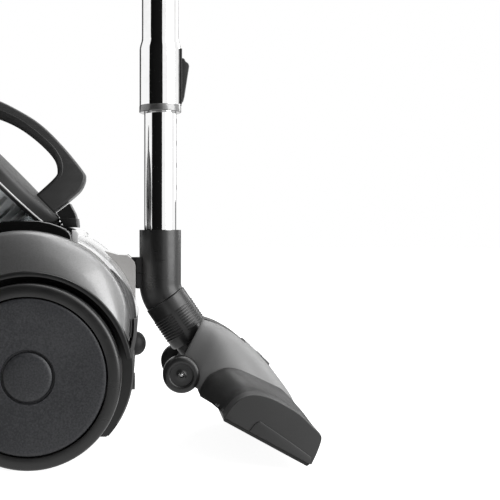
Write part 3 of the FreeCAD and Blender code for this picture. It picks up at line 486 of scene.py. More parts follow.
def turned(name, profile, origin, direction, material, body, replaces=(), steps=96, bevel=0.0,
           crease=CREASE):
    shape = spun(profile, steps)
    finish_piece(shape, name, material, body, replaces, crease, bevel, standing(origin, direction))


def plate(outline, low, high, bevel=0.0, steps=3):
    """An outline in X and Z made solid from low to high along Y."""
    shape = bmesh.new()
    face = shape.faces.new([shape.verts.new((x, low, z)) for x, z in outline])
    grown = bmesh.ops.extrude_face_region(shape, geom=[face])
    corners = [item for item in grown["geom"] if isinstance(item, bmesh.types.BMVert)]
    bmesh.ops.translate(shape, vec=(0, high - low, 0), verts=corners)
    bmesh.ops.recalc_face_normals(shape, faces=shape.faces)
    if bevel:
        bevel_edges(shape, bevel, steps=steps)
    return shape


def skin(surface, across, along, joined=False):
    """A sheet whose point at (u, v), each from 0 to 1, is surface(u, v)."""
    shape = bmesh.new()
    bmesh.ops.create_grid(shape, x_segments=across, y_segments=along, size=0.5)
    for corner in shape.verts:
        corner.co = Vector(surface(corner.co.x + 0.5, corner.co.y + 0.5))
    if joined:
        bmesh.ops.remove_doubles(shape, verts=shape.verts, dist=0.01)
        bmesh.ops.holes_fill(shape, edges=shape.edges, sides=0)
    bmesh.ops.recalc_face_normals(shape, faces=shape.faces)
    return shape


def thicken(shape, thick, inside):
    """Makes an open skin solid: it keeps its outer face and grows towards a point inside."""
    bmesh.ops.recalc_face_normals(shape, faces=shape.faces)
    facing = sum((face.calc_center_median() - Vector(inside)).dot(face.normal) * face.calc_area()
                 for face in shape.faces)
    if facing < 0:
        bmesh.ops.reverse_faces(shape, faces=shape.faces)
    bmesh.ops.solidify(shape, geom=shape.faces, thickness=thick)


def smooth_path(points, count):
    """Evenly numbered points on a smooth curve through the given ones."""
    made = []
    spans = len(points) - 1
    for i in range(count):
        at = min(i / (count - 1) * spans, spans - 1e-6)
        k = int(at)
        t = at - k
        before = Vector(points[max(k - 1, 0)])
        start, stop = Vector(points[k]), Vector(points[k + 1])
        after = Vector(points[min(k + 2, spans)])
        square = 2 * before - 5 * start + 4 * stop - after
        cube = 3 * start - before - 3 * stop + after
        made.append(0.5 * (2 * start + (stop - before) * t + square * t * t + cube * t ** 3))
    return made


def refined(node, material, body, slot, bevel=0.5):
    """A merged copy of a plain CAD piece, with its edges broken and its round faces smooth."""
    shape = copied(node)
    bmesh.ops.dissolve_limit(shape, angle_limit=math.radians(0.6), use_dissolve_boundaries=False,
                             verts=shape.verts, edges=shape.edges, delimit={"NORMAL"})
    name = node + "_moulded"
    piece = link_piece(name, in_metres(shape, name), material, body)
    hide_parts(node)
    rounding = piece.modifiers.new("broken_edges", "BEVEL")
    rounding.width = bevel * MM
    rounding.segments = 2
    rounding.limit_method = "ANGLE"
    rounding.angle_limit = math.radians(CREASE)
    rounding.harden_normals = True


# ---- main wheels ----
DISC_R = 68.8
HUB_R = 22.4


def wheel(side, body):
    """One main wheel, from its inner face outwards: tyre, textured disc and hub cap."""
    out = (0, side, 0)
    origin = Vector((WHEEL.x, side * WHEEL_IN, WHEEL.z))
    wide = WHEEL_OUT - WHEEL_IN
    name = SIDE_NAME[side]
    tread = [(DISC_R + 0.8, 1.0), (WHEEL_R - 4, 0.2), (WHEEL_R - 1.2, 1.4), (WHEEL_R, 4.5)]
    for i in range(4):
        groove = 9.0 + 7.0 * i
        tread += [(WHEEL_R, groove), (WHEEL_R - 0.7, groove + 0.4), (WHEEL_R - 0.7, groove + 1.0),
                  (WHEEL_R, groove + 1.4)]
    shoulder = [(WHEEL_R, wide - 4.0), (WHEEL_R - 0.3, wide - 2.4), (WHEEL_R - 1.1, wide - 1.1),
                (WHEEL_R - 2.3, wide - 0.3), (WHEEL_R - 3.6, wide), (DISC_R + 2.4, wide),
                (DISC_R + 1.0, wide - 0.4), (DISC_R + 0.9, wide - 1.4), (DISC_R + 0.8, wide - 4.0)]
    turned("tyre_ring_" + name, tread + shoulder, origin, out, TYRE_BLACK, body,
           ["tyre_" + name], 180, crease=50.0)
    face = [(DISC_R - 0.4, wide - 5.0), (DISC_R - 0.4, wide - 2.2), (DISC_R - 0.8, wide - 1.2),
            (DISC_R - 1.5, wide - 0.7), (DISC_R - 4.0, wide - 0.6), (DISC_R - 14.0, wide - 1.3),
            (HUB_R + 16.0, wide - 1.9), (HUB_R + 5.0, wide - 2.1), (HUB_R + 1.6, wide - 2.2),
            (HUB_R + 1.1, wide - 2.8), (HUB_R + 0.9, wide - 5.2), (HUB_R - 0.8, wide - 5.4),
            (HUB_R - 0.8, wide - 7.0), (9.0, wide - 7.0), (9.0, wide - 12.0), (HUB_R + 3.0, wide - 12.0),
            (HUB_R + 3.0, wide - 7.0), (DISC_R - 4.0, wide - 7.0), (DISC_R - 4.0, 4.0), (DISC_R - 0.4, 4.0)]
    turned("disc_face_" + name, face, origin, out, WHEEL_GREY, body, ["wheel_disc_" + name],
           180, crease=40.0)
    cap = [(0.0, wide - 1.0), (HUB_R - 10, wide - 1.05), (HUB_R - 4.2, wide - 1.4),
           (HUB_R - 1.9, wide - 1.9),
           (HUB_R - 1.1, wide - 2.8), (HUB_R - 1.0, wide - 4.0), (HUB_R - 1.0, wide - 9.5),
           (0.0, wide - 9.5)]
    turned("hub_plate_" + name, cap, origin, out, WHEEL_GREY, body, ["hub_cap_" + name], 96,
           crease=40.0)
    inner = [(12.0, 0.5), (12.0, wide - 12.2), (5.2, wide - 12.2), (5.2, 0.5)]
    turned("wheel_hub_" + name, inner, origin, out, MATT_BLACK, body, (), 48, bevel=0.4)
    spokes(name, side, body, origin, wide)


def spokes(name, side, body, origin, wide):
    """The ribs behind the disc."""
    shape = bmesh.new()
    for i in range(8):
        rib = bmesh.ops.create_cube(shape, size=1.0)["verts"]
        bmesh.ops.scale(shape, vec=(DISC_R - 16, 2.0, wide - 19.0), verts=rib)
        bmesh.ops.translate(shape, vec=(12 + (DISC_R - 16) / 2, 0, 12 + (wide - 19) / 2), verts=rib)
        bmesh.ops.rotate(shape, cent=(0, 0, 0), matrix=Matrix.Rotation(math.tau * i / 8, 3, "Z"), verts=rib)
    finish_piece(shape, "wheel_ribs_" + name, MATT_BLACK, body, (), bevel=0.3,
                 moved=standing(origin, (0, side, 0)))


# ---- body shells ----
HUMP = Vector((-18.5, 0, 122.0))
SIDE_AXES = (95.5, 85.4)
CROWN_AXES = (103.0, 92.3)
ARCH_R = 86.5
REAR_TURN = (62.0, 3.2)
PEDAL_TURN = (57.6, 40.4)
FENDER_END = (-8.5, 187.0)


def on_oval(axes, turn):
    return (HUMP.x + axes[0] * math.cos(turn), HUMP.z + axes[1] * math.sin(turn))


def mixed(low, high, t):
    return low + (high - low) * t


def fender_point(side, u, v):
    """Across v: from the lip by the wheel to the body's shoulder. Along u: round the arch."""
    turn = math.radians(mixed(FENDER_END[0], FENDER_END[1], u))
    outer_x, outer_z = on_oval(SIDE_AXES, turn)
    bearing = math.atan2(outer_z - WHEEL.z, outer_x - WHEEL.x)
    reach = math.hypot(outer_x - WHEEL.x, outer_z - WHEEL.z)
    lip = 91.0
    reach = max(reach, lip + 0.6)
    stations = [(lip - 2.2, 116.0), (lip - 0.6, 118.4), (lip, 120.2), (lip + 0.4, 120.6)]
    blend = [(0.25, 118.2), (0.5, 113.6), (0.75, 107.9), (0.9, 103.4), (1.0, 99.5)]
    stations += [(mixed(lip, reach, t), y) for t, y in blend]
    stations += [(reach + 0.5, 97.0), (reach + 0.7, 92.0), (reach + 0.8, 82.5)]
    count = len(stations) - 1
    k = min(int(round(v * count)), count)
    radius, y = stations[k]
    return (WHEEL.x + radius * math.cos(bearing), side * y, WHEEL.z + radius * math.sin(bearing))


def fender(side):
    name = SIDE_NAME[side]
    shape = skin(lambda u, v: fender_point(side, u, v), 140, 12)
    thicken(shape, 1.6, (WHEEL.x, side * 60.0, WHEEL.z))
    finish_piece(shape, "fender_skin_" + name, FENDER_METAL, "chassis",
                 ["fenders"] if side < 0 else (), crease=50.0)


def fender_lip(side):
    """The dark liner inside the fender's edge."""
    name = SIDE_NAME[side]
    section = [(0, 84.0), (0, 120.8), (0.5, 121.6), (2.4, 122.0), (4.0, 121.7), (4.7, 120.8), (4.7, 119.4),
               (2.2, 117.0), (2.2, 84.0)]
    profile = [(ARCH_R + out, across) for out, across in section]
    start = 10.0
    shape = spun(profile, 150, angle=180.0 - 2 * start)
    lead = Matrix.Rotation(math.radians(start), 3, "Z")
    bmesh.ops.rotate(shape, cent=(0, 0, 0), matrix=lead, verts=shape.verts)
    turn = Matrix.Translation((WHEEL.x, 0, WHEEL.z)) @ Matrix(((1, 0, 0, 0), (0, 0, side, 0), (0, 1, 0, 0),
                                                              (0, 0, 0, 1)))
    bmesh.ops.holes_fill(shape, edges=shape.edges, sides=0)
    finish_piece(shape, "arch_liner_" + name, SATIN_BLACK, "chassis", moved=turn)


def crown_point(u, v, grow=0.0):
    """The crowned rear cover: u goes down the back, v goes across."""
    turn = math.radians(mixed(REAR_TURN[0], REAR_TURN[1], u))
    y = mixed(-BODY_HALF, BODY_HALF, v)
    share = abs(y) / BODY_HALF
    drop = 1.0 - (1.0 - share ** 5) ** 0.5
    axes = [mixed(crown, flank + 1.0, drop) + grow for crown, flank in zip(CROWN_AXES, SIDE_AXES)]
    x, z = on_oval(axes, turn)
    return (x, y, z)


def rear_shell():
    """The silver back cover, cut out for the two foot pedals."""
    shape = skin(crown_point, 48, 60)
    for joint in ("power_pedal_push", "rewind_pedal_push"):
        low, high = span(joint.replace("_push", ""))
        push = axis_of(joint)
        across = Vector((-push.z, 0, push.x))
        centre = Vector((47.3, 0, 191.0))
        gap = 0.35
        half = 12.0 + gap
        planes = [(centre + across * half, across), (centre - across * half, -across),
                  (Vector((0, low.y - gap, 0)), Vector((0, -1, 0))),
                  (Vector((0, high.y + gap, 0)), Vector((0, 1, 0)))]
        cut_window(shape, planes)
    thicken(shape, 2.4, HUMP)
    finish_piece(shape, "rear_cover", SILVER, "chassis", ["rear_housing"], crease=40.0)


def pedal(name):
    """A foot pedal: a pad that lies flush in the crowned cover."""
    low, high = span(name + "_pedal")

    def surface(u, v):
        y = mixed(low.y, high.y, v)
        start, stop = [(angle - REAR_TURN[0]) / (REAR_TURN[1] - REAR_TURN[0]) for angle in PEDAL_TURN]
        return crown_point(mixed(start, stop, u), (y + BODY_HALF) / (2 * BODY_HALF), 0.3)

    shape = skin(surface, 14, 8)
    thicken(shape, 3.0, HUMP)
    finish_piece(shape, name + "_pedal_pad", SILVER, name + "_pedal", [name + "_pedal"],
                 bevel=0.5)


def trim_strip(side):
    """The black strip down the rear shoulder, between the fender and the silver cover."""
    name = SIDE_NAME[side]

    def surface(u, v):
        turn = mixed(36.0, -8.0, u)
        wide = 0.80 * min(1.0, u / 0.42) ** 0.8
        inner = (1.0 - wide ** 2) ** 0.2
        share = mixed(inner, 1.0, v)
        start = (turn - REAR_TURN[0]) / (REAR_TURN[1] - REAR_TURN[0])
        x, y, z = crown_point(start, 0.5 + 0.5 * share, 0.45)
        return (x, side * y, z)

    shape = skin(surface, 48, 10)
    thicken(shape, 1.0, HUMP)
    finish_piece(shape, "shoulder_strip_" + name, MATT_BLACK, "chassis",
                 ["side_trims"] if side < 0 else ())


def cradle():
    """The glossy black band round the dust bin: its two rounded side cheeks."""
    for side in (-1, 1):
        outline = [(-104.5, 92.0), (-104.5, 120.0), (-108.0, 165.0), (-102.0, 184.0), (-88.0, 198.0),
                   (-70.0, 208.0), (-48.0, 215.0), (-30.0, 217.4), (-7.0, 217.0), (4.0, 215.2),
                   (13.5, 212.0),
                   (19.0, 209.4), (22.5, 206.6), (24.4, 203.0), (24.8, 198.0), (24.8, 150.0), (-10.0, 110.0)]
        low, high = sorted((side * 72.6, side * BODY_HALF))
        shape = plate(outline, low, high, bevel=2.0, steps=4)
        name = SIDE_NAME[side]
        finish_piece(shape, "band_cheek_" + name, GLOSS_BLACK, "chassis")


# ---- the handle and the dust bin ----
HANDLE_OUTER = [(1.3, 226.2), (17.3, 238.6), (28.1, 249), (32.2, 261), (28.1, 270), (7.5, 295), (-12.5, 314),
                (-33.1, 327), (-53.5, 337), (-75, 344), (-94, 343), (-104.0, 331.5)]
HANDLE_INNER = [(-91, 318.5), (-75, 325.5), (-53.5, 320), (-33.1, 310), (-12.5, 294), (1.5, 279),
                (5.2, 267.5), (2, 260), (-15.9, 243.4)]


def handle():
    """The carrying handle: a hoop with well rounded edges."""
    outer = smooth_path([(x, z) for x, z in HANDLE_OUTER], 60)
    inner = smooth_path([(x, z) for x, z in HANDLE_INNER], 50)
    half = span("carry_handle")[1].y
    shape = plate([tuple(p) for p in outer] + [tuple(p) for p in inner], -half, half)
    round_rims(shape, [e for e in shape.edges if abs(e.verts[0].co.y - e.verts[1].co.y) < 0.01], 5.5, 5)
    finish_piece(shape, "handle_hoop", HANDLE_BLACK, "dust_bin", ["carry_handle"],
                 crease=60.0)
    count = len(inner)
    midway = []
    centre = Vector((-45, 290))
    for i, spot in enumerate(inner):
        before, after = inner[max(i - 1, 0)], inner[min(i + 1, count - 1)]
        out = Vector((after.y - before.y, before.x - after.x)).normalized()
        wide = 8.0 if i < 0.55 * count else mixed(8.0, 2.5, (i / count - 0.55) / 0.45)
        outward = (spot - out - centre).length > (spot - centre).length
        midway.append(spot - out * wide if outward else spot + out * wide)
    shape = plate([tuple(p) for p in inner] + [tuple(p) for p in reversed(midway)], -half - 0.5, half + 0.5)
    round_rims(shape, [e for e in shape.edges if abs(e.verts[0].co.y - e.verts[1].co.y) < 0.01], 1.1, 3)
    finish_piece(shape, "grip_insert", GRIP_BLACK, "dust_bin", (), crease=60.0)


def bin_place():
    """Turns what is made round +Z from the bin's foot into its tilted place."""
    low, high = span("bin_lid")
    lid_top = Vector(((low.x + high.x) / 2, 0, (low.z + high.z) / 2)) + BIN_AXIS * 8.5
    return lid_top - BIN_AXIS * 165.0


def dust_bin():
    foot = bin_place()
    wall = [(70.0, 2.0), (70.0, 149.5), (67.5, 149.5), (67.5, 2.0)]
    shape = spun(wall, 128)
    bevel_edges(shape, 0.5)
    finish_piece(shape, "bin_wall", CLEAR, "dust_bin", ["dust_bin"],
                 moved=standing(foot, BIN_AXIS))
    collar = spun([(70.2, 70.0), (70.2, 147.5), (71.3, 147.5), (71.3, 70.0)], 128)
    bmesh.ops.transform(collar, matrix=standing(foot, BIN_AXIS), verts=collar.verts)
    cut(collar, (-22.0, 0, 0), (-1, 0, 0.06), True)
    bmesh.ops.holes_fill(collar, edges=collar.edges, sides=0)
    finish_piece(collar, "bin_collar", SATIN_BLACK, "dust_bin")
    lid = [(0, 165.6), (40, 165.6), (62, 165.3), (69.5, 164.6), (71.6, 163.4), (72.7, 161.4), (73, 159.5),
           (73, 152.0), (72.6, 150.4), (71.4, 149.0), (70.4, 148.2), (70.4, 150.2), (68, 150.2), (68, 160.5),
           (0, 160.5)]
    turned("lid_cap", lid, foot, BIN_AXIS, CAP_DARK, "dust_bin", ["bin_lid"], 128,
           crease=40.0)
    lip = [(72.9, 151.4), (73.9, 151.6), (74.2, 152.3), (73.9, 153.0), (72.9, 153.2)]
    turned("lid_rim", lip, foot, BIN_AXIS, SILVER_SATIN, "dust_bin", (), 128, crease=60.0)
    plain = [("bin_door", MATT_BLACK, "bin_door", "dark_plastic"),
             ("hose_inlet", SATIN_BLACK, "dust_bin", "dark_plastic"),
             ("mesh_shroud", SILVER_SATIN, "dust_bin", "grey_plastic"),
             ("latch_housing", SATIN_BLACK, "dust_bin", "black_plastic"),
             ("release_button", TRIM_GREY, "release_button", "grey_plastic")]
    for row in plain:
        refined(*row)


# ---- the wand ----
def wand():
    up = (0, 0, 1)
    foot = (WAND_X, 0, 0)
    ring_low = span("tube_ring")[0].z
    top = span("upper_tube")[1].z
    lower = [(16.0, 172.0), (16.0, 638.5), (15.6, 639.5), (15.2, 639.5), (15.2, 172.0)]
    turned("inner_tube", lower, foot, up, CHROME, "wand", ["lower_tube"], 96, crease=40.0)
    upper = [(20.7, ring_low + 7), (20.7, ring_low + 63), (20.3, ring_low + 66), (18.8, ring_low + 71),
             (18.35, ring_low + 74), (18.35, top), (17.5, top), (17.5, ring_low + 73), (19.9, ring_low + 63),
             (19.9, ring_low + 7)]
    turned("outer_tube", upper, foot, up, CHROME, "upper_wand", ["upper_tube"], 96,
           crease=40.0)
    ring = [(16.2, ring_low), (20.4, ring_low), (21.0, ring_low + 0.7), (21.0, ring_low + 6.2),
            (20.6, ring_low + 6.9), (16.2, ring_low + 6.9)]
    turned("end_ring", ring, foot, up, RING_METAL, "upper_wand", ["tube_ring"], 96,
           crease=40.0)
    socket_top = span("wand_socket")[1].z
    socket = [(18.4, socket_top - 48), (20.6, socket_top - 48), (21.5, socket_top - 47),
              (21.5, socket_top - 1),
              (20.9, socket_top), (17.2, socket_top), (16.6, socket_top - 0.8), (16.6, socket_top - 24),
              (18.4, socket_top - 24)]
    turned("end_socket", socket, foot, up, SATIN_BLACK, "upper_wand", ["wand_socket"], 96,
           crease=40.0)
    notches()
    latch()


def notches():
    """The row of lock notches down the inner tube."""
    shape = bmesh.new()
    for i in range(14):
        slot = bmesh.ops.create_cube(shape, size=1.0)["verts"]
        bmesh.ops.scale(shape, vec=(1.2, 7.5, 4.6), verts=slot)
        bmesh.ops.translate(shape, vec=(WAND_X + 15.6, 0, 251.5 + 22 * i), verts=slot)
    finish_piece(shape, "lock_notches", MATT_BLACK, "wand", (), bevel=0.3)


def latch():
    """The thumb slide: a wedge with rounded edges, and the rails beside it."""
    x = WAND_X
    low, high = span("tube_latch")
    body = [(x + 18.4, low.z), (x + 22.8, low.z), (x + 24.0, low.z + 4), (x + 28.2, low.z + 31),
            (x + 28.8, low.z + 34.6), (x + 28.3, low.z + 37.2), (x + 26.8, low.z + 38.6),
            (x + 25.2, low.z + 39.6), (x + 24.2, high.z - 1), (x + 23.2, high.z), (x + 18.4, high.z)]
    shape = plate(body, low.y, high.y, bevel=1.0)
    finish_piece(shape, "thumb_slide", SATIN_BLACK, "tube_latch", ["tube_latch"])
    frame_low = low.z - 3
    frame_high = high.z + 9
    surround = [(x + 17.5, frame_low), (x + 21.6, frame_low), (x + 21.6, frame_high), (x + 17.5, frame_high)]
    shape = bmesh.new()
    for y in (-7.6, 7.6):
        rail = plate(surround, y - 0.8, y + 0.8, bevel=0.4)
        mesh = bpy.data.meshes.new("rail")
        rail.to_mesh(mesh)
        rail.free()
        shape.from_mesh(mesh)
        bpy.data.meshes.remove(mesh)
    finish_piece(shape, "slide_rails", SATIN_BLACK, "upper_wand")


def neck():
    """The elbow under the tube, the swivel sleeve and the parking rail."""
    radius = 20.75
    top = span("neck_elbow")[1].z
    shape = bmesh.new()
    turn = Vector((0, 0, -1)).angle(NECK)
    circle = bmesh.ops.create_circle(shape, cap_ends=False, segments=96, radius=radius)["verts"]
    bmesh.ops.translate(shape, vec=(BEND.x, 0, top - 0.2), verts=circle)
    loop = [e for e in shape.edges]
    rise = radius * math.tan(turn / 2) + 3.0
    straight = bmesh.ops.extrude_edge_only(shape, edges=loop)["geom"]
    ring = [g for g in straight if isinstance(g, bmesh.types.BMVert)]
    start = BEND.z + rise
    bmesh.ops.translate(shape, vec=(0, 0, start - (top - 0.2)), verts=ring)
    centre = Vector((BEND.x + rise / math.tan(turn / 2), 0, start))
    edges = [g for g in straight if isinstance(g, bmesh.types.BMEdge) and all(v in ring for v in g.verts)]
    bmesh.ops.spin(shape, geom=ring + edges, cent=centre, axis=(0, -1, 0), angle=turn, steps=14,
                   use_duplicate=False)
    cut(shape, BEND + NECK * 7.6, NECK, True)
    thicken(shape, 3.5, (BEND.x, 0, 160.0))
    finish_piece(shape, "neck_shell", SATIN_BLACK, "wand", ["neck_elbow"], bevel=0.7,
                 crease=50.0)
    collar = [(16.2, top - 6), (17.6, top - 6), (17.6, top - 0.4), (16.4, top - 0.4)]
    turned("neck_collar", collar, (BEND.x, 0, 0), (0, 0, 1), SATIN_BLACK, "wand")
    refined("parking_clip", SATIN_BLACK, "wand", "black_plastic")
    sleeve()


def sleeve():
    """The turning sleeve with its fine ribs, and the barrel that it tilts on."""
    outer = 21.75
    start = 8.2
    profile = [(17.2, start), (outer - 0.7, start), (outer, start + 0.7), (outer, 53.0), (outer - 0.8, 55.0),
               (18.5, 55.6), (18.5, 72.0), (14.6, 72.0), (14.6, 24.0), (17.2, 24.0)]
    turned("swivel_shell", profile, BEND, NECK, SATIN_BLACK, "swivel", ["swivel_sleeve"],
           96, crease=40.0)
    shape = bmesh.new()
    for i in range(9):
        for half in (0, 1):
            rib = bmesh.ops.create_circle(shape, cap_ends=True, segments=8, radius=0.75)
            corners = rib["verts"]
            faces = list({f for v in corners for f in v.link_faces})
            edges = list({e for v in corners for e in v.link_edges})
            upright = Matrix.Rotation(math.pi / 2, 3, "X")
            bmesh.ops.rotate(shape, cent=(0, 0, 0), matrix=upright, verts=corners)
            bmesh.ops.translate(shape, vec=(outer, 0, 23.0 + 2.7 * i), verts=corners)
            lead = math.radians(-90 + 6 + 180 * half)
            bmesh.ops.rotate(shape, cent=(0, 0, 0), matrix=Matrix.Rotation(lead, 3, "Z"), verts=corners)
            bmesh.ops.spin(shape, geom=corners + edges + faces, cent=(0, 0, 0), axis=(0, 0, 1),
                           angle=math.radians(168), steps=30, use_duplicate=False)
    finish_piece(shape, "sleeve_ribs", SATIN_BLACK, "swivel", (),
                 moved=standing(BEND, NECK), crease=60.0)
    barrel = [(0, -22), (18.2, -22), (19, -21.2), (19, 21.2), (18.2, 22), (0, 22)]
    turned("tilt_barrel", barrel, PIVOT, (0, 1, 0), SATIN_BLACK, "swivel", (), 64)


# ---- the floor head: made level, u along X from its heel and h along Z from its sole ----
WHEEL_BACK = 41.4
WHEEL_UP = 9.5


def head_place():
    """The head's own frame, from where its wheel axle is behind the heel and above the sole."""
    turn = Matrix.Rotation(LEAN, 4, "Y")
    axle = Vector((-WHEEL_BACK, HEAD_WHEEL.y, WHEEL_UP))
    return Matrix.Translation(HEAD_WHEEL - turn.to_3x3() @ axle) @ turn


END_TOP = [(0.5, 3.3), (1.8, 15), (5.8, 25), (14, 33), (28, 37.3), (46, 37.7), (58, 36.6), (71, 33),
           (80, 30.5), (83.6, 26), (85.5, 14), (86, 3.3)]
MID_TOP = [(-20, 3.3), (-19, 20), (-14, 29), (-6, 37), (10, 41), (46, 42), (58, 39.5), (69, 36), (79, 31.5),
           (83.6, 26), (85.5, 14), (86, 3.3)]
CAP_IN = 108.0
SOLE_UP = 3.3
TOP_POINTS = 57


def nozzle_top(share):
    """The nozzle's outline over its top, from its end shape at 0 to its middle shape at 1."""
    return smooth_path([Vector(a).lerp(Vector(b), share) for a, b in zip(END_TOP, MID_TOP)], TOP_POINTS)


def nozzle_wall(share, wall=2.4):
    """That outline as a wall: over the top and back along its inside, open below."""
    top = nozzle_top(share)
    back = []
    for i in range(len(top)):
        along = top[min(i + 1, len(top) - 1)] - top[max(i - 1, 0)]
        inward = Vector((along.y, -along.x)).normalized()
        spot = top[i] + inward * wall
        back.append(Vector((spot.x, max(spot.y, SOLE_UP))))
    return top + back[::-1]


def nozzle():
    """The dark hollow nozzle, thin at its ends and deeper in the middle."""
    rows = 72
    columns = 2 * TOP_POINTS - 1
    shoulder = 100.0
    slope = 42.0

    def surface(u, v):
        y = mixed(-CAP_IN, CAP_IN, u)
        t = min(1.0, max(0.0, (shoulder - abs(y)) / slope))
        loop = nozzle_wall(t * t * (3 - 2 * t))
        spot = loop[int(round(v * columns)) % len(loop)]
        return (spot.x, y, spot.y)

    shape = skin(surface, rows, columns, joined=True)
    finish_piece(shape, "nozzle_shell", HEAD_DARK, "floor_head", ["nozzle_body"],
                 moved=head_place(), crease=45.0)


def end_caps():
    """The caps on the nozzle's ends, each with a raised bumper step."""
    outline = [tuple(p) for p in nozzle_top(0.0)]
    outline += [(mixed(86, END_TOP[0][0], i / 8), SOLE_UP) for i in range(1, 9)]
    step = [(25.0, 3.4), (26.5, 12.0), (29.0, 15.4), (60.0, 12.2), (82.5, 9.2), (84.0, 3.4)]
    for side in (-1, 1):
        name = SIDE_NAME[side]
        outer_y = side * 129.1
        low, high = sorted((side * (CAP_IN + 0.4), outer_y))
        shape = plate(outline, low, high)
        rims = [e for e in shape.edges if all(abs(v.co.y - outer_y) < 0.01 for v in e.verts)]
        round_rims(shape, rims, 2.6, 5)
        finish_piece(shape, "end_cap_" + name, CAP_DARK, "floor_head",
                     ["end_caps"] if side < 0 else (), moved=head_place(), crease=50.0)
        low, high = sorted((side * 128.0, side * 130.2))
        finish_piece(plate(step, low, high, bevel=0.5), "bumper_step_" + name, CAP_DARK, "floor_head",
                     moved=head_place())


def hood():
    """The grey hood: tall and narrow round the swivel, spreading and sinking towards the nose."""
    count = 60
    spine = smooth_path([(-46, 61), (-44.5, 66), (-35, 68), (-24, 68.2), (-10, 67.2), (9, 63.2), (29, 57),
                         (47, 49), (60, 43), (70, 37.6), (77, 32.5)], count)
    width = smooth_path([(-45, 33), (-38, 36), (-28, 42), (-14, 51), (0, 58), (16, 60), (30, 57), (45, 48),
                         (58, 35), (68, 20), (77, 4)], count)
    foot = smooth_path([(-45, 16), (-38, 12), (-28, 8), (-14, 5), (0, 8), (16, 20), (30, 28), (45, 32),
                        (58, 33), (68, 31.5), (77, 29.5)], count)

    def surface(u, v):
        k = int(round(u * (count - 1)))
        top, side, low = spine[k].y, width[k].y, foot[k].y
        turn = math.pi * v
        square = mixed(4.2, 2.1, min(1.0, k / 34))
        y = -side * abs(math.cos(turn)) ** (2 / square) * (1 if math.cos(turn) > 0 else -1)
        h = low + (top - low) * math.sin(turn) ** (2 / square)
        return (spine[k].x, y, h)

    shape = skin(surface, count - 1, 48)
    left, right, back, front = (Vector(way) for way in ((0, -1, 0), (0, 1, 0), (-1, 0, 0), (1, 0, 0)))
    swivel_slot = [(left * 22.6, left), (right * 22.6, right), (front * 2.0, front)]
    pedal_window = [(left * 14.6, left), (right * 14.6, right), (front * 9.4, back), (front * 34.6, front)]
    for hole in (swivel_slot, pedal_window):
        cut_window(shape, hole, lowest=30.0)
    thicken(shape, 2.4, (0, 0, 10.0))
    finish_piece(shape, "hood_shell", HOOD_GREY, "floor_head", ["top_cover"],
                 moved=head_place(), crease=50.0)


def head_wheels():
    centre = Vector((HEAD_WHEEL.x, 0, HEAD_WHEEL.z))
    for side in (-1, 1):
        name = SIDE_NAME[side]
        profile = [(2.6, 40), (15.8, 40), (17.2, 41.2), (17.6, 43), (17.6, 52.0), (17.0, 54.2), (15.4, 55.6),
                   (13.2, 56), (11.4, 55.8), (10.8, 55.2), (10.6, 54.4), (6, 54.2), (4.2, 54.4), (3.6, 55.0),
                   (2.6, 55)]
        turned("head_roller_" + name, profile, centre, (0, side, 0), SATIN_BLACK, "head_wheel_" + name,
               ["head_wheel_" + name], 96, crease=50.0)
    pin = [(0, -55.6), (1.1, -55.6), (1.5, -55.2), (1.5, -50), (2.4, -50), (2.4, 50), (1.5, 50), (1.5, 55.2),
           (1.1, 55.6), (0, 55.6)]
    turned("roller_axle", pin, centre, (0, 1, 0), STEEL, "floor_head", ["head_axle"], 32)


# ---- the boss, the bumper and everything that keeps its CAD shape ----
def bumper():
    low, high = span("rear_bumper")
    middle = (low.z + high.z) / 2
    radius = (high.z - low.z) / 2
    deep = 10.0
    base = high.x - low.x - deep
    profile = [(0, 0), (7, 0), (7, 8.5), (radius, 8.5), (radius, base)]
    for i in range(1, 13):
        turn = math.pi / 2 * i / 12
        profile.append((radius * math.cos(turn), base + deep * math.sin(turn)))
    turned("bumper_dome", profile, Vector((low.x, 0, middle)), (1, 0, 0), RUBBER, "chassis",
           ["rear_bumper"], 64, crease=50.0)


def saddle():
    """The moulding under the dust bin: black in front, silver where it joins the back cover."""
    seam = 15.0
    half = 72.3
    for name, turn, material in (("saddle_front", 1, GLOSS_BLACK), ("saddle_rear", -1, SILVER_SATIN)):
        shape = copied("bin_cradle")
        cut(shape, (seam, 0, 0), (turn, 0, 0), True)
        for side in (-1, 1):
            cut(shape, (0, side * half, 0), (0, side, 0), True)
        bmesh.ops.holes_fill(shape, edges=shape.edges, sides=0)
        finish_piece(shape, name, material, "chassis", ["bin_cradle"] if turn > 0 else ())


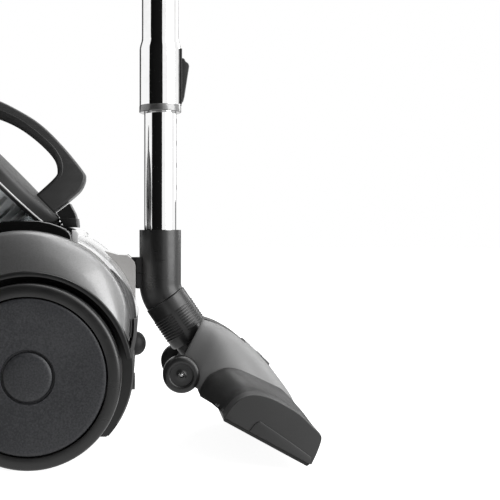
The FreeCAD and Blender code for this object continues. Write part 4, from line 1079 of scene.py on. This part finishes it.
def band_ends():
    """The silver ends of the black band and the skirt under the latch housing."""
    outline = [(24.4, 197.0), (24.4, 208.8), (27.5, 208.0), (30.4, 206.2), (30.4, 197.5)]
    for side in (-1, 1):
        low, high = sorted((side * 70.0, side * (BODY_HALF - 0.3)))
        shape = plate(outline, low, high, bevel=0.6)
        finish_piece(shape, "band_end_" + SIDE_NAME[side], SILVER_SATIN, "chassis")
    skirt = [(7.0, 220.5), (24.3, 220.5), (25.3, 211.6), (12.5, 211.9)]
    finish_piece(plate(skirt, -21.0, 21.0, bevel=0.6), "latch_skirt", SATIN_BLACK, "dust_bin")


def keep(node, material):
    """A CAD piece that is right as it is gets its finish in its own slots."""
    mesh = frame["nodes"][node].data
    for index in range(len(mesh.materials)):
        mesh.materials[index] = material


KEPT = {"wheel_axles": STEEL, "floor_screws": STEEL, "motor_body": ZINC, "motor_saddle": RUBBER,
        "fan_housing": TRIM_GREY, "impeller": INNER_GREY, "air_duct": INNER_GREY, "cord_reel": INNER_GREY,
        "exhaust_filter": FLEECE, "control_board": BOARD, "lid_filter": FLEECE, "cyclone_cone": SILVER,
        "door_seal": RUBBER, "brush_frame": INNER_GREY, "bristles": BRISTLE, "side_plates": MATT_BLACK}
REFINED = [("lower_housing", MATT_BLACK, "chassis", "black_plastic"),
           ("nose_cover", TRIM_GREY, "chassis", "dark_plastic"),
           ("exhaust_grille", GRILLE_GREY, "chassis", "grey_plastic"),
           ("parking_boss", BOSS_METAL, "chassis", "boss_grey"),
           ("cord_outlet", MATT_BLACK, "chassis", "black_plastic"),
           ("caster_fork", MATT_BLACK, "caster_fork", "black_plastic"),
           ("caster_wheel", TRIM_GREY, "caster_wheel", "grey_plastic"),
           ("brush_pedal", HOOD_GREY, "brush_pedal", "dark_plastic"),
           ("sole_plate", MATT_BLACK, "floor_head", "black_plastic")]

make_camera()
make_studio()
for side, body in ((-1, "wheel_left"), (1, "wheel_right")):
    wheel(side, body)
    trim_strip(side)
    fender(side)
    fender_lip(side)
rear_shell()
cradle()
pedal("power")
pedal("rewind")
handle()
dust_bin()
wand()
neck()
nozzle()
end_caps()
hood()
head_wheels()
bumper()
saddle()
band_ends()
for node, material in KEPT.items():
    keep(node, material)
for row in REFINED:
    refined(*row)
